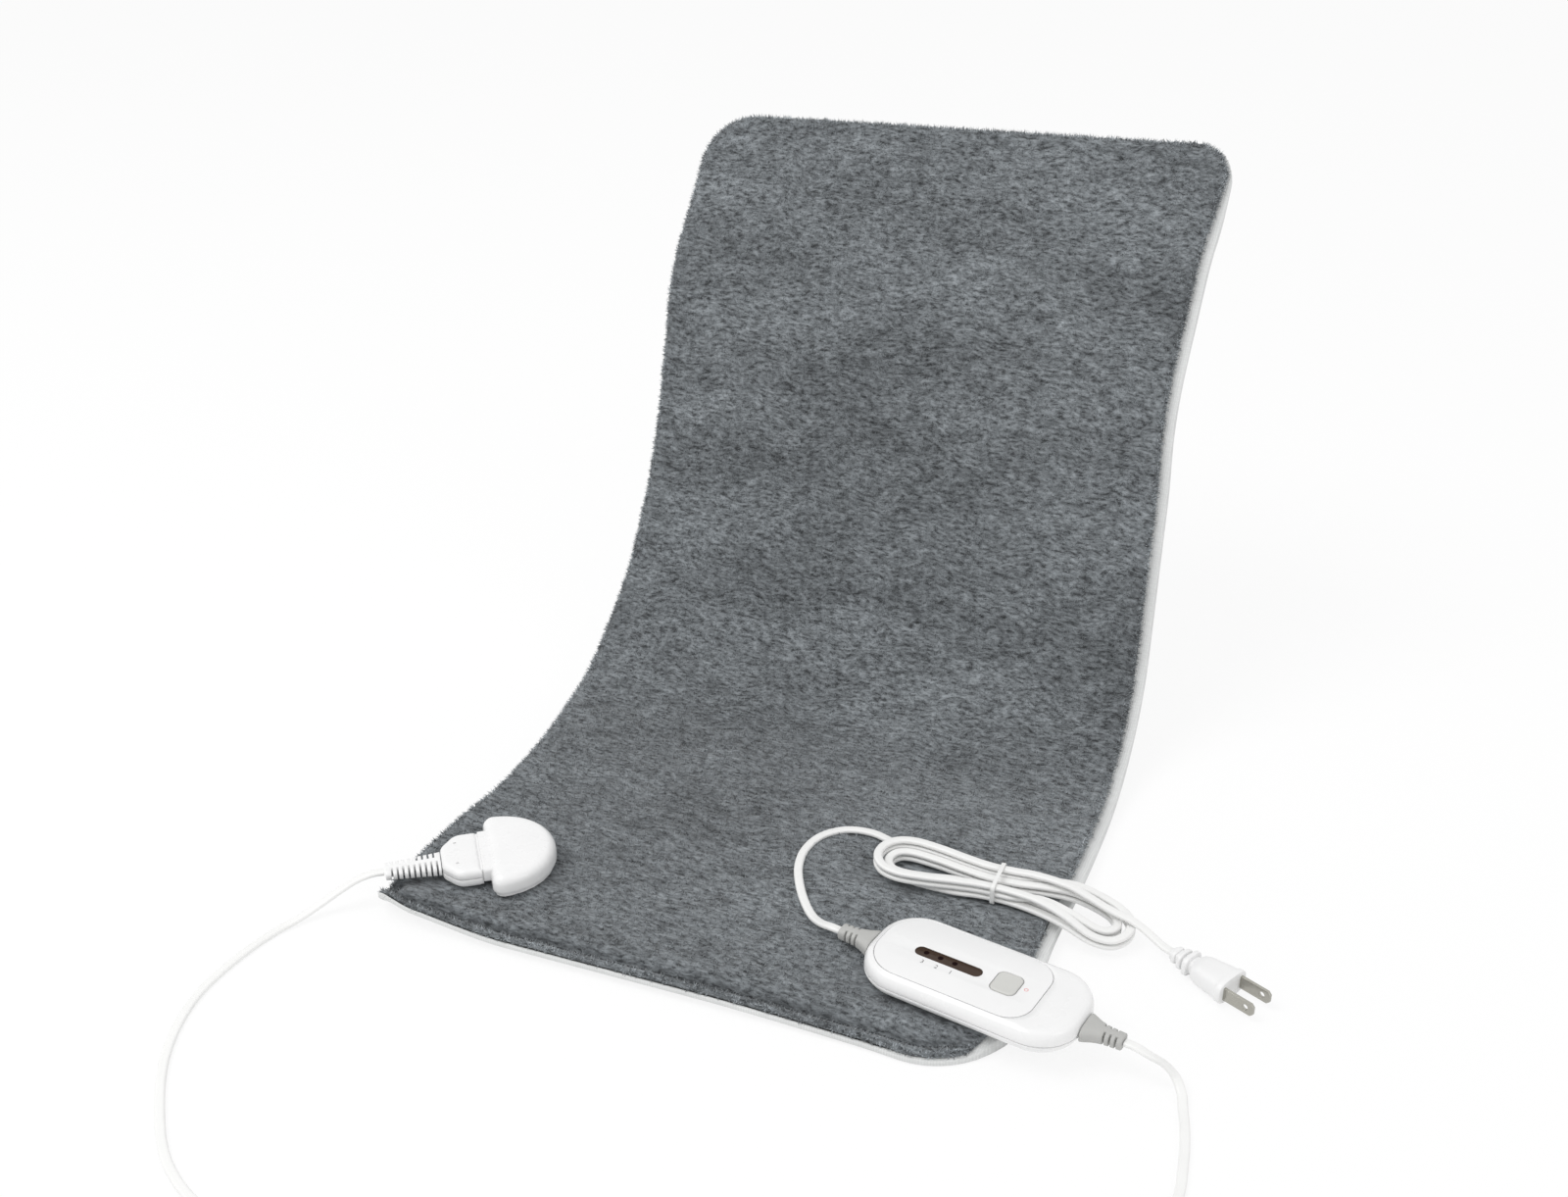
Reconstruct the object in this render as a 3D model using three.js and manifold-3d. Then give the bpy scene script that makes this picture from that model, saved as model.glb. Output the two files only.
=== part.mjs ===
// Heating pad with a handset: a plush pad, a plug-in connector, a three-level handset
// and a mains lead folded into a tied hank. Millimetres, +Z up, the front edge towards -Y.
import * as THREE from 'three';
import { mergeVertices } from 'three/addons/utils/BufferGeometryUtils.js';
import Module from 'manifold-3d';

const wasm = await Module();
wasm.setup();
const degrees = Math.PI / 180;

// Fits that every sub-assembly shares
const seatGap = 0.3;
const cutOverrun = 6;

// Pad outline, and the line that it follows: flat on the floor, up, and leaning back
const padLength = 601.5;
const padWidth = 303;
const frontCorners = { right: 42, left: 18 };
const backCorners = { right: 22, left: 32 };
const leastCorner = 3;
const padCornerSteps = 5;
const flatLength = 228.4;
const lowerBendRadius = 64;
const riseAngle = 64.5 * degrees;
const backLength = 139.4;
const upperBendRadius = 620;
const bendStep = 9;
const straightStep = 44;
const leanStep = 27;

// The soft sides stray from straight: places along the pad, and how far out they lie.
// The far edge hangs a little short towards its left corner.
const rightStray = [
  [0, 3], [110, 3.4], [140, 5], [180, 5.8], [260, 5.5], [300, 4.8], [380, 1], [410, -0.5],
  [465, -3.4], [540, -0.2], [575, 4.2], [padLength, 4.6],
];
const leftStray = [
  [60, 0], [110, -5], [150, -5.5], [180, -3], [210, 0.5], [240, 1.8], [280, 2.4], [340, -2.8],
  [385, -5], [430, -3.8], [490, 1], [540, -0.8], [padLength, -2],
];
const farSlack = 6;
const slackStart = 330;
const slackLength = 250;

// The front edge curls up a little, less so towards the handset
const frontLift = 5;
const liftLength = 24;
const liftEnd = 50;
const liftFade = 40;

// Pad layers, from the underside up
const backSheet = 1.4;
const bandWall = 1.6;
const backEdgeRound = 1.1;
const lowerFelt = 1.2;
const wireRoom = 2.5;
const upperFelt = 1.4;
const coverThickness = 3.8;
const coverEdge = 1.8;
const coverTuck = 2;
const seamInset = 8;
const seamDepth = 1.6;
const edgeRoll = 3;
const crownInset = 25;

// Heating wire and thermal fuses
const wireDiameter = 1.9;
const wireSides = 5;
const rowPitch = 34;
const rowCount = 15;
const rowStart = 90;
const rowMargin = 33.5;
const rowHalfSpan = padWidth / 2 - rowMargin;
const rowBendSteps = 3;
const returnInset = 17;
const returnRow = 66;
const thermalFuse = { length: 14, width: 5, height: 2.1, corner: 1 };
const fuseRows = [4, 10];

// Pad socket: a half-moon cap on a base whose stem goes down through the cover.
// Each profile lists an inset from the outline and a height.
const socketX = -113;
const socketY = 48;
const socketTurn = 35.5 * degrees;
const capDepth = 33.5;
const capHalfWidth = 28;
const capCorner = 5;
const capArcSteps = 14;
const capWall = 1.8;
const capBase = 2.9;
const capProfile = [[0, capBase], [0, 6.5], [1, 9], [3.2, 11], [7, 12], [12, 12.4]];
const cavityProfile = [[capWall, 0], [capWall, 6.5], [2.8, 8.4], [5, 10]];
const collarLength = 3.5;
const collarHalfWidth = 16.6;
const collarHeight = 11;
const mouthHalfWidth = 12;
const mouthLow = 4.1;
const mouthHigh = 9.7;
const baseInset = 1;
const stemHalfWidth = 9;
const stemFront = 11.5;
const stemBack = 18;
const pinBlockHeight = 9.4;
const pinDiameter = 1.9;
const pinSpacing = 11;
const pinReach = 1.5;
const pinBack = 15;
const pinSides = 8;

// Connector that plugs into the socket: two shells, two sleeves, a slotted strain relief
const connectorHalfWidth = 16.6;
const connectorLength = 18.7;
const connectorChamferLength = 7;
const connectorChamferDepth = 8.6;
const connectorWall = 1.6;
const connectorParting = 5.8;
const lowerConnectorProfile = [
  [connectorWall, 2.5], [connectorWall, connectorParting],
  [0, connectorParting], [0, 3.2], [1.4, 1.4], [3, 0.9],
];
const connectorCeiling = 9.4;
const upperConnectorProfile = [
  [connectorWall, connectorCeiling], [connectorWall, connectorParting + seatGap],
  [0, connectorParting + seatGap], [0, 8.8], [1.2, 10.4], [2.8, 11],
];
const noseReach = 7;
const sleeveWall = 0.4;
const sleeveInset = 0.5;
const dimple = { diameter: 1.6, depth: 0.6, setback: 15, spacing: 17, top: 11, sides: 8 };

// Slotted strain reliefs. Each section lists a distance from the wall, a half width and
// a half height; slots come in from both sides and leave a spine.
const reliefSides = 12;
const reliefSquareness = 3;
const connectorRelief = {
  wall: connectorWall, setback: seatGap, flangeThickness: 1.6,
  flangeWidth: 5, flangeHeight: 2.9, neckWidth: 3.6, neckHeight: 2,
  sections: [[0.3, 7.6, 3.4], [12.6, 6.4, 3], [27, 5.4, 2.6]],
  slotWidth: 1.2, slotPitch: 2.7, slotCount: 9, firstSlot: 2.1, spine: 1.3,
};
const handsetRelief = {
  wall: 1.8, setback: 1, flangeThickness: 1.6,
  flangeWidth: 6.2, flangeHeight: 2.6, neckWidth: 3.8, neckHeight: 1.9,
  sections: [[0.45, 8, 4], [2.5, 7.2, 3.9], [6, 5.4, 3.6], [10, 4.4, 3.3], [18, 4, 3]],
  slotWidth: 1, slotPitch: 2.7, slotCount: 3, firstSlot: 8.6, spine: 1.6,
};

// Handset case
const handsetX = 137.1;
const handsetY = 43;
const handsetTurn = -11 * degrees;
const handsetRestGap = 0.4;
const caseLength = 104;
const caseWidth = 50;
const caseHeight = 13.5;
const caseCorner = 20;
const caseCornerSteps = 7;
const caseWall = 1.8;
const caseFloor = 1.6;
const caseParting = 6.3;
const caseCeiling = 11.3;
const topCaseProfile = [
  [8, caseHeight], [3.4, 13.3], [1.5, 12.3], [0.4, 10.4], [0, 8.4], [0, caseParting + seatGap],
  [caseWall, caseParting + seatGap], [caseWall, 9.6], [4, caseCeiling], [8, caseCeiling],
];
const bottomCaseProfile = [
  [7, caseFloor], [4, caseFloor], [caseWall, 4.8], [caseWall, caseParting],
  [0, caseParting], [0.6, 4.2], [2.6, 1.7], [5.5, 0.4], [9, 0],
];

// Handset face
const faceplateStart = -48;
const faceplateEnd = 31;
const faceplateHalfWidth = 21;
const faceplateNearCorner = 17;
const faceplateFarCorner = 12;
const faceplateThickness = 0.65;
const faceplateCornerSteps = 5;
const windowX = -14.3;
const windowY = -0.5;
const windowLength = 33;
const windowWidth = 6.2;
const windowCorner = 3;
const lampSlotInset = 0.9;
const buttonX = 14.3;
const buttonY = -0.3;
const buttonLength = 12;
const buttonWidth = 14;
const buttonCorner = 3.2;
const buttonEdge = 0.5;
const buttonProud = 0.5;
const buttonLip = 1.5;
const buttonLipThickness = 1;
const buttonGap = 0.35;
const buttonTravel = 0.8;

// Handset inside
const boardLength = 74;
const boardWidth = 38;
const boardThickness = 1.6;
const boardLevel = 4.6;
const ribThickness = 1.6;
const ribSpacing = 60;
const ribHalfLength = 20.5;
const ribFoot = 1.3;
const bossSpacingX = 84;
const bossSpacingY = 24;
const bossDiameter = 6.4;
const bossTop = 11.7;
const bossSides = 12;
const screwHead = 4;
const screwHeadHeight = 1.1;
const screwSeat = 0.6;
const screwShank = 2;
const screwLength = 8.3;
const screwSides = 10;
const screwCross = { length: 2.6, width: 0.6, depth: 0.6 };
const lampDiameter = 3;
const lampHeight = 3.9;
const lampSides = 10;
const lampSpacing = 7.15;
const lampCount = 3;
const firstLamp = -25.5;
const switchSize = 6;
const switchHeight = 2.4;
const plungerDiameter = 3;
const plungerLength = 1.6;
const microcontroller = { x: -8, y: -10, length: 5, width: 4, height: 1.6 };
const triac = { x: 29, y: 8, length: 4.6, width: 8, height: 3.6 };
const filmCapacitor = { x: 29, y: -8, length: 13, width: 5, height: 3.6 };
const boardFuse = { x: -25, y: -9, length: 10, diameter: 3.2, capLength: 2.2, capDiameter: 3.6, sides: 10 };

// Flat twin cord: stations of its free stretches, from end to end
const cordWidth = 4.4;
const cordThickness = 2.7;
const cordSides = 8;
const cordStep = 13;
const cordFloorLevel = 1.4;
const padLeadRoute = [
  [-153.65, 19, 17.45], [-157.8, 16.05, 17.4], [-163.5, 11.8, 15.6], [-171, 5.4, 10.8], [-178, -2.5, 5.8],
  [-184, -12, 2.6], [-189, -22, 1.5], [-194, -44, 1.4], [-195, -75, 1.4], [-185, -108, 1.4],
  [-165, -139, 1.4], [-140, -165, 1.4], [-110, -179, 1.4], [-75, -176, 1.4], [-35, -162, 1.4],
  [5, -146, 1.4], [45, -130, 1.4], [90, -112, 1.4], [135, -95, 1.4], [180, -80, 1.4],
  [215, -68, 1.4], [235, -54, 1.4], [242, -36, 1.4], [241, -14, 1.4], [238, 5, 1.4],
  [235, 17, 1.5], [232.8, 25, 2.7], [229.2, 30, 6], [224, 30.6, 11], [217.4, 28.2, 16],
  [211.2, 28.6, 18.3], [206.2, 29.57, 18.35],
];
const mainsLoopRoute = [
  [68, 56.43, 18.35], [63.1, 57.38, 18.3], [57.4, 60.4, 16.4], [50.5, 66.5, 14], [42.7, 76.2, 13.3],
  [35, 89, 13.3], [29.5, 102, 13.3], [27.5, 116, 13.3], [31, 130, 13.3], [41, 139.5, 13.4],
  [54, 141.3, 13.7], [66, 137, 14.2], [74.3, 132.8, 14.45], [78.7, 132.7, 14.45],
];
const mainsTailRoute = [
  [134.5, 127.1, 20.9], [139, 127.25, 21.1], [146, 126.5, 21.45], [153, 125.5, 21.5], [160, 124.6, 20.8],
  [166, 123.9, 19.1], [171, 123.4, 17.3], [177, 122.8, 15.1], [183, 122.1, 13.6], [189, 121.2, 12.6],
  [196, 119.6, 10.4], [202.3, 117.1, 7.9], [207.6, 114.3, 6.5], [211.7, 112.15, 6.5],
];

// Hank: loops in an inner and an outer column, drawn in at the waist and tied there.
// The runs at the back keep their column and layer; a run at the front changes either
// one between two of its steps, and those steps come one after another along the hank.
const hankX = 125.5;
const hankY = 119;
const hankBase = 14.45;
const hankSides = 6;
const hankLeftRun = 46.5;
const hankRightRun = 50;
const runSteps = 7;
const lastRunSteps = 4;
const turnSteps = 5;
const hankColumnShares = [1, 0, 0, 1, 1];
const hankLayers = [0, 0, 1, 1, 2];
const changeStart = [5, 4, 2, 0];
const changeEnd = [7, 5, 3, 2];
const waistColumns = [2.7, 7.6];
const leftColumns = [8.5, 13.7];
const rightColumns = [8.6, 15];
const waistPitch = 3.15;
const leftPitch = 3.3;
const rightPitch = 3.5;
const droopStart = 27;
const droopLength = 35;
const droopDepth = 9;
const tieRoom = 0.7;
const tieWidth = 3;
const tieThickness = 1;
const tieCorner = 1.8;
const tieCornerSteps = 3;
const gapSamples = 8;
const gapSkip = 2;

// Mains plug. Each section lists a distance, a half width and a half height.
const plugX = 212;
const plugY = 112;
const plugLevel = 6.5;
const plugTurn = -26.5 * degrees;
const plugSides = 16;
const plugSquareness = 3.2;
const plugReliefSections = [
  [0, 3.2, 2.4], [1.6, 3.2, 2.4], [1.6, 4.2, 3.4], [3.6, 4.2, 3.4], [3.6, 3.4, 2.7],
  [5.4, 3.4, 2.7], [5.4, 5.2, 4.2], [7.4, 5.2, 4.2], [7.4, 3.8, 3], [9.2, 3.8, 3],
  [9.2, 6.4, 5], [11.4, 6.4, 5], [11.4, 4.4, 3.4], [13, 4.4, 3.4],
];
const plugBodySections = [
  [13.3, 5, 4], [14.6, 6.6, 4.8], [18, 7.8, 5.4], [25, 8.8, 5.7], [29.6, 9.2, 5.8],
  [30.6, 10.4, 6], [33, 10.4, 6], [33.3, 10.1, 5.8],
];
const bladeSpacing = 12.7;
const bladeWidth = 6.3;
const bladeThickness = 1.5;
const bladeLength = 15.9;
const bladeRoot = 6;
const bladeTaper = 1.2;
const bladeHoleDiameter = 3.2;
const bladeHoleSetback = 4.2;
const bladeHoleSides = 10;

// Colours of the finishes
const plushGrey = 0x6e7377;
const bandGrey = 0xd9dadb;
const glossWhite = 0xf4f4f4;
const reliefGrey = 0xb3b2ac;
const buttonGrey = 0xd6d6d2;
const windowBrown = 0x3a2c28;
const feltWhite = 0xe6e3dc;
const wireRed = 0xb5524a;
const metal = 0xb9b6ac;
const boardGreen = 0x2f6b45;
const partBlack = 0x232323;

const padThickness = backSheet + lowerFelt + wireRoom + upperFelt + coverThickness + 4 * seatGap;
const lowerFeltBase = backSheet + seatGap;
const wireBase = lowerFeltBase + lowerFelt + seatGap;
const upperFeltBase = wireBase + wireRoom + seatGap;
const bandHeight = upperFeltBase + upperFelt;
const coverBase = bandHeight + seatGap;
const wireLevel = wireBase + wireRoom / 2;

const part = new THREE.Group();
const assembly = new THREE.Group();
part.add(assembly);
const onCord = new Set();

function addPart(name, geometry, colour, roughness, metalness = 0, parent = assembly) {
  const material = new THREE.MeshStandardMaterial({ color: colour, roughness, metalness });
  const mesh = new THREE.Mesh(geometry, material);
  mesh.name = name;
  parent.add(mesh);
  return mesh;
}

function addCordPart(...details) {
  onCord.add(addPart(...details));
}

function frameAt(x, y, z, turn) {
  const group = new THREE.Group();
  group.position.set(x, y, z);
  group.rotation.z = turn;
  assembly.add(group);
  return group;
}

function toSolid(geometry) {
  const bare = geometry.clone();
  bare.deleteAttribute('normal');
  bare.deleteAttribute('uv');
  const merged = mergeVertices(bare);
  const vertProperties = Float32Array.from(merged.attributes.position.array);
  const triVerts = Uint32Array.from(merged.index.array);
  return new wasm.Manifold(new wasm.Mesh({ numProp: 3, vertProperties, triVerts }));
}

function toGeometry(solid) {
  const mesh = solid.getMesh();
  const geometry = new THREE.BufferGeometry();
  geometry.setAttribute('position', new THREE.BufferAttribute(mesh.vertProperties, 3));
  geometry.setIndex(new THREE.BufferAttribute(mesh.triVerts, 1));
  geometry.computeVertexNormals();
  return geometry;
}

function joined(first, ...others) {
  return toGeometry(others.reduce((solid, other) => solid.add(toSolid(other)), toSolid(first)));
}

function cutFrom(first, ...cutters) {
  const cut = cutters.reduce((solid, cutter) => solid.subtract(toSolid(cutter)), toSolid(first));
  return toGeometry(cut);
}

// Turns a closed surface right side out by the sign of its volume
function facingOut(positions, index) {
  const corner = (i) => new THREE.Vector3(...positions[i]);
  let volume = 0;
  for (let i = 0; i < index.length; i += 3) {
    const [a, b, c] = [corner(index[i]), corner(index[i + 1]), corner(index[i + 2])];
    volume += a.dot(b.cross(c));
  }
  const ordered = volume < 0 ? index.reverse() : index;
  const geometry = new THREE.BufferGeometry();
  geometry.setAttribute('position', new THREE.Float32BufferAttribute(positions.flat(), 3));
  geometry.setIndex(ordered);
  geometry.computeVertexNormals();
  return geometry;
}

// Joins rings of equal count in order; an end ring is filled by strips between mirrored points
function lofted(rings) {
  const count = rings[0].length;
  const index = [];
  const quad = (a, b, c, d) => index.push(a, b, c, a, c, d);
  for (let level = 0; level < rings.length - 1; level += 1) {
    for (let i = 0; i < count; i += 1) {
      const a = level * count + i;
      const b = level * count + ((i + 1) % count);
      quad(a, b, b + count, a + count);
    }
  }
  const last = (rings.length - 1) * count;
  for (let i = 0; i < count / 2 - 1; i += 1) {
    const mirror = count - 1 - i;
    quad(last + i, last + i + 1, last + mirror - 1, last + mirror);
    quad(mirror, mirror - 1, i + 1, i);
  }
  return facingOut(rings.flat(), index);
}

// A closed skin: one outline at stated insets and heights
function skin(ringAt, levels, place = (x, y, z) => [x, y, z]) {
  return lofted(levels.map(([inset, height]) => ringAt(inset).map(([x, y]) => place(x, y, height))));
}

function block(xLow, xHigh, yLow, yHigh, zLow, zHigh) {
  const box = new THREE.BoxGeometry(xHigh - xLow, yHigh - yLow, zHigh - zLow);
  return box.translate((xLow + xHigh) / 2, (yLow + yHigh) / 2, (zLow + zHigh) / 2);
}

function uprightRod(x, y, diameter, zLow, zHigh, sides) {
  const rod = new THREE.CylinderGeometry(diameter / 2, diameter / 2, zHigh - zLow, sides);
  return rod.rotateX(Math.PI / 2).translate(x, y, (zLow + zHigh) / 2);
}

function lyingRod(y, z, diameter, xLow, xHigh, sides) {
  const rod = new THREE.CylinderGeometry(diameter / 2, diameter / 2, xHigh - xLow, sides);
  return rod.rotateZ(Math.PI / 2).translate((xLow + xHigh) / 2, y, z);
}

// A rectangle with round corners, as points in mirrored pairs about the X axis
function roundedRing(xLow, xHigh, halfWidth, corner, steps, farCorner = corner) {
  return (inset) => {
    const upper = [];
    for (const [end, full, start] of [[xHigh, farCorner, 0], [xLow, corner, Math.PI / 2]]) {
      const radius = Math.max(full - inset, seatGap);
      const reach = end - Math.sign(end - (xLow + xHigh) / 2) * (inset + radius);
      for (let i = 0; i <= steps; i += 1) {
        const angle = start + (Math.PI / 2) * (i / steps);
        const side = halfWidth - inset - radius;
        upper.push([reach + radius * Math.cos(angle), side + radius * Math.sin(angle)]);
      }
    }
    return upper.concat(upper.map(([x, y]) => [x, -y]).reverse());
  };
}

// An oval section across the X axis, squarer for a higher squareness
function ovalRing(x, halfWidth, halfHeight, sides, squareness) {
  const rounded = (value, size) => Math.sign(value) * size * Math.abs(value) ** (2 / squareness);
  return Array.from({ length: sides }, (_, i) => {
    const angle = ((2 * i + 1) * Math.PI) / sides;
    return [x, rounded(Math.cos(angle), halfWidth), rounded(Math.sin(angle), halfHeight)];
  });
}

function ovalLoft(sections, sides, squareness) {
  return lofted(sections.map(([x, width, height]) => ovalRing(x, width, height, sides, squareness)));
}

function plate(ring, zLow, zHigh, holes = []) {
  const shape = new THREE.Shape(ring.map(([x, y]) => new THREE.Vector2(x, y)));
  for (const hole of holes) {
    shape.holes.push(new THREE.Path(hole.map(([x, y]) => new THREE.Vector2(x, y))));
  }
  const extruded = new THREE.ExtrudeGeometry(shape, { depth: zHigh - zLow, bevelEnabled: false });
  return extruded.translate(0, 0, zLow);
}

// A path through chosen stations, straight between them, whose section stays level
class StationPath extends THREE.Curve {
  constructor(stations) {
    super();
    this.stations = stations;
  }

  getPoint(t, target = new THREE.Vector3()) {
    const place = t * (this.stations.length - 1);
    const i = Math.min(Math.floor(place), this.stations.length - 2);
    return target.lerpVectors(this.stations[i], this.stations[i + 1], place - i);
  }

  getUtoTmapping(u) {
    return u;
  }

  computeFrenetFrames(segments) {
    const upward = new THREE.Vector3(0, 0, 1);
    const frames = { tangents: [], normals: [], binormals: [] };
    let side = new THREE.Vector3(0, 1, 0);
    for (let i = 0; i <= segments; i += 1) {
      const tangent = this.getTangentAt(i / segments);
      const level = upward.clone().cross(tangent);
      if (level.length() > Number.EPSILON ** 0.5) side = level.normalize();
      frames.tangents.push(tangent);
      frames.normals.push(side.clone());
      frames.binormals.push(tangent.clone().cross(side));
    }
    return frames;
  }
}

function sectionPoints(width, thickness, sides) {
  const flat = (width - thickness) / 2;
  return Array.from({ length: sides }, (_, i) => {
    const angle = (2 * Math.PI * i) / sides;
    const across = Math.cos(angle);
    const reach = Math.abs(across) < Number.EPSILON ** 0.5 ? 0 : Math.sign(across) * flat;
    return new THREE.Vector2(reach + (across * thickness) / 2, (Math.sin(angle) * thickness) / 2);
  });
}

function tube(stations, width, thickness, sides) {
  const shape = new THREE.Shape(sectionPoints(width, thickness, sides));
  const extrudePath = new StationPath(stations);
  return new THREE.ExtrudeGeometry(shape, { steps: stations.length - 1, extrudePath });
}

function roundTube(stations, diameter, sides) {
  return tube(stations, diameter, diameter, sides);
}

function points(list) {
  return list.map(([x, y, z]) => new THREE.Vector3(x, y, z));
}

function smooth(share) {
  const held = Math.min(Math.max(share, 0), 1);
  return held * held * (3 - 2 * held);
}

// Pad line: where a length along the pad lies, seen from the side
const riseStart = flatLength + lowerBendRadius * riseAngle;
const leanStart = riseStart + backLength;

function padLine(along) {
  const y1 = flatLength + lowerBendRadius * Math.sin(riseAngle);
  const z1 = lowerBendRadius * (1 - Math.cos(riseAngle));
  if (along <= flatLength) return { y: along, z: 0, angle: 0 };
  if (along <= riseStart) {
    const angle = (along - flatLength) / lowerBendRadius;
    const z = lowerBendRadius * (1 - Math.cos(angle));
    return { y: flatLength + lowerBendRadius * Math.sin(angle), z, angle };
  }
  const straight = Math.min(along, leanStart) - riseStart;
  const y2 = y1 + straight * Math.cos(riseAngle);
  const z2 = z1 + straight * Math.sin(riseAngle);
  if (along <= leanStart) return { y: y2, z: z2, angle: riseAngle };
  const angle = riseAngle - (along - leanStart) / upperBendRadius;
  const y = y2 + upperBendRadius * (Math.sin(riseAngle) - Math.sin(angle));
  return { y, z: z2 + upperBendRadius * (Math.cos(angle) - Math.cos(riseAngle)), angle };
}

function strayAt(table, along) {
  const after = table.findIndex(([place]) => place > along);
  if (after === 0) return table[0][1];
  if (after < 0) return table[table.length - 1][1];
  const [low, high] = [table[after - 1], table[after]];
  return low[1] + ((high[1] - low[1]) * (along - low[0])) / (high[0] - low[0]);
}

// Where a place on the even pad lies once its sides stray and its far edge hangs short
function settled(x, along) {
  const stray = strayAt(x > 0 ? rightStray : leftStray, along);
  const slack = farSlack * (1 / 2 - x / padWidth) * smooth((along - slackStart) / slackLength);
  return [x * (1 + stray / (padWidth / 2)), along - slack];
}

function onPad(evenX, evenAlong, height) {
  const [x, along] = settled(evenX, evenAlong);
  const { y, z, angle } = padLine(along);
  const fade = 1 - smooth((x - liftEnd) / liftFade);
  const curl = frontLift * fade * Math.max(1 - along / liftLength, 0) ** 2;
  return [x, y - height * Math.sin(angle), z + curl + height * Math.cos(angle)];
}

function stationsBetween(start, end) {
  const stations = [start];
  const spans = [
    [flatLength, straightStep], [riseStart, bendStep], [leanStart, straightStep], [padLength, leanStep],
  ];
  let low = 0;
  for (const [high, step] of spans) {
    const from = Math.max(low, start);
    const to = Math.min(high, end);
    const count = Math.ceil((to - from) / step);
    for (let i = 1; i <= count; i += 1) stations.push(from + ((to - from) * i) / count);
    low = high;
  }
  return stations;
}

const sideStart = Math.max(frontCorners.right, frontCorners.left);
const sideEnd = padLength - Math.max(backCorners.right, backCorners.left);
const sideStations = stationsBetween(sideStart, sideEnd).slice(1, -1);

// One side of the pad's outline at an inset, from the front edge to the far edge
function padSide(inset, frontCorner, backCorner) {
  const turns = Array.from({ length: padCornerSteps + 1 }, (_, i) => (Math.PI / 2) * (i / padCornerSteps));
  const front = Math.max(frontCorner - inset, leastCorner);
  const back = Math.max(backCorner - inset, leastCorner);
  const edge = padWidth / 2 - inset;
  return [
    ...turns.map((angle) => [
      edge - front * (1 - Math.sin(angle)), inset + front * (1 - Math.cos(angle)),
    ]),
    ...sideStations.map((along) => [edge, along]),
    ...turns.map((angle) => [
      edge - back * (1 - Math.cos(angle)), padLength - inset - back * (1 - Math.sin(angle)),
    ]),
  ];
}

function padRing(inset) {
  const right = padSide(inset, frontCorners.right, backCorners.right);
  const left = padSide(inset, frontCorners.left, backCorners.left);
  return right.concat(left.map(([x, along]) => [-x, along]).reverse());
}

function fromSocket(u, v) {
  const cos = Math.cos(socketTurn);
  const sin = Math.sin(socketTurn);
  return [socketX + u * cos - v * sin, socketY + u * sin + v * cos];
}

// The stem's way through the cover and the upper felt
function stemWay() {
  const grow = 2 * seatGap;
  const way = block(
    stemFront - grow, stemBack + grow, -stemHalfWidth - grow, stemHalfWidth + grow,
    -padThickness, cutOverrun,
  );
  way.rotateZ(socketTurn);
  return way.translate(socketX, socketY, padThickness);
}

function feltSheet(base, thickness) {
  const edge = bandWall + seatGap;
  return skin(padRing, [[edge, base], [edge, base + thickness]], onPad);
}

function buildPad() {
  const floorInset = backEdgeRound * 2;
  const backLevels = [
    [floorInset, 0], [backEdgeRound / 2, backEdgeRound / 2], [0, floorInset],
    [0, bandHeight], [bandWall, bandHeight], [bandWall, backSheet],
  ];
  addPart('back_cover', skin(padRing, backLevels, onPad), bandGrey, 0.85);
  addPart('lower_felt_layer', feltSheet(lowerFeltBase, lowerFelt), feltWhite, 0.95);
  const upper = feltSheet(upperFeltBase, upperFelt);
  addPart('upper_felt_layer', cutFrom(upper, stemWay()), feltWhite, 0.95);

  const top = coverBase + coverThickness;
  const rollTop = top - edgeRoll / 8;
  const coverLevels = [
    [coverTuck, coverBase], [edgeRoll / 8, coverBase + edgeRoll / 4], [0, coverBase + edgeRoll / 2],
    [edgeRoll / 4, rollTop - edgeRoll / 4], [edgeRoll, rollTop],
    [seamInset - edgeRoll / 2, rollTop - edgeRoll / 8], [seamInset, top - seamDepth],
    [seamInset + edgeRoll / 2, rollTop - edgeRoll / 8], [seamInset + 2 * edgeRoll, rollTop],
    [crownInset, top],
  ];
  const cover = skin((inset) => padRing(coverEdge + inset), coverLevels, onPad);
  addPart('plush_front_cover', cutFrom(cover, stemWay()), plushGrey, 0.95);
}

// One unbroken wire: rows across the pad, then back along its right edge to the socket
function wireRoute() {
  const level = (x, along) => new THREE.Vector3(...onPad(x, along, wireLevel));
  const [startX, startY] = fromSocket(pinBack, pinSpacing / 2);
  const [endX, endY] = fromSocket(pinBack, -pinSpacing / 2);
  const bendRadius = rowPitch / 2;
  const route = [level(startX, startY), level(startX, rowStart - bendRadius / 2)];
  for (let row = 0; row < rowCount; row += 1) {
    const along = rowStart + row * rowPitch;
    const heading = row % 2 === 0 ? 1 : -1;
    route.push(level(-heading * rowHalfSpan, along), level(heading * rowHalfSpan, along));
    if (row === rowCount - 1) break;
    for (let i = 1; i < rowBendSteps; i += 1) {
      const angle = Math.PI * (i / rowBendSteps);
      const x = heading * (rowHalfSpan + (bendRadius / 2) * Math.sin(angle));
      route.push(level(x, along + bendRadius * (1 - Math.cos(angle))));
    }
  }
  const edge = padWidth / 2 - returnInset;
  const lastRow = rowStart + (rowCount - 1) * rowPitch;
  for (const along of stationsBetween(returnRow, lastRow - bendRadius / 2).reverse()) {
    route.push(level(edge, along));
  }
  route.push(level(edge - bendRadius, returnRow - bendRadius / 2));
  route.push(level(endX + bendRadius, endY), level(endX, endY));
  return route;
}

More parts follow.
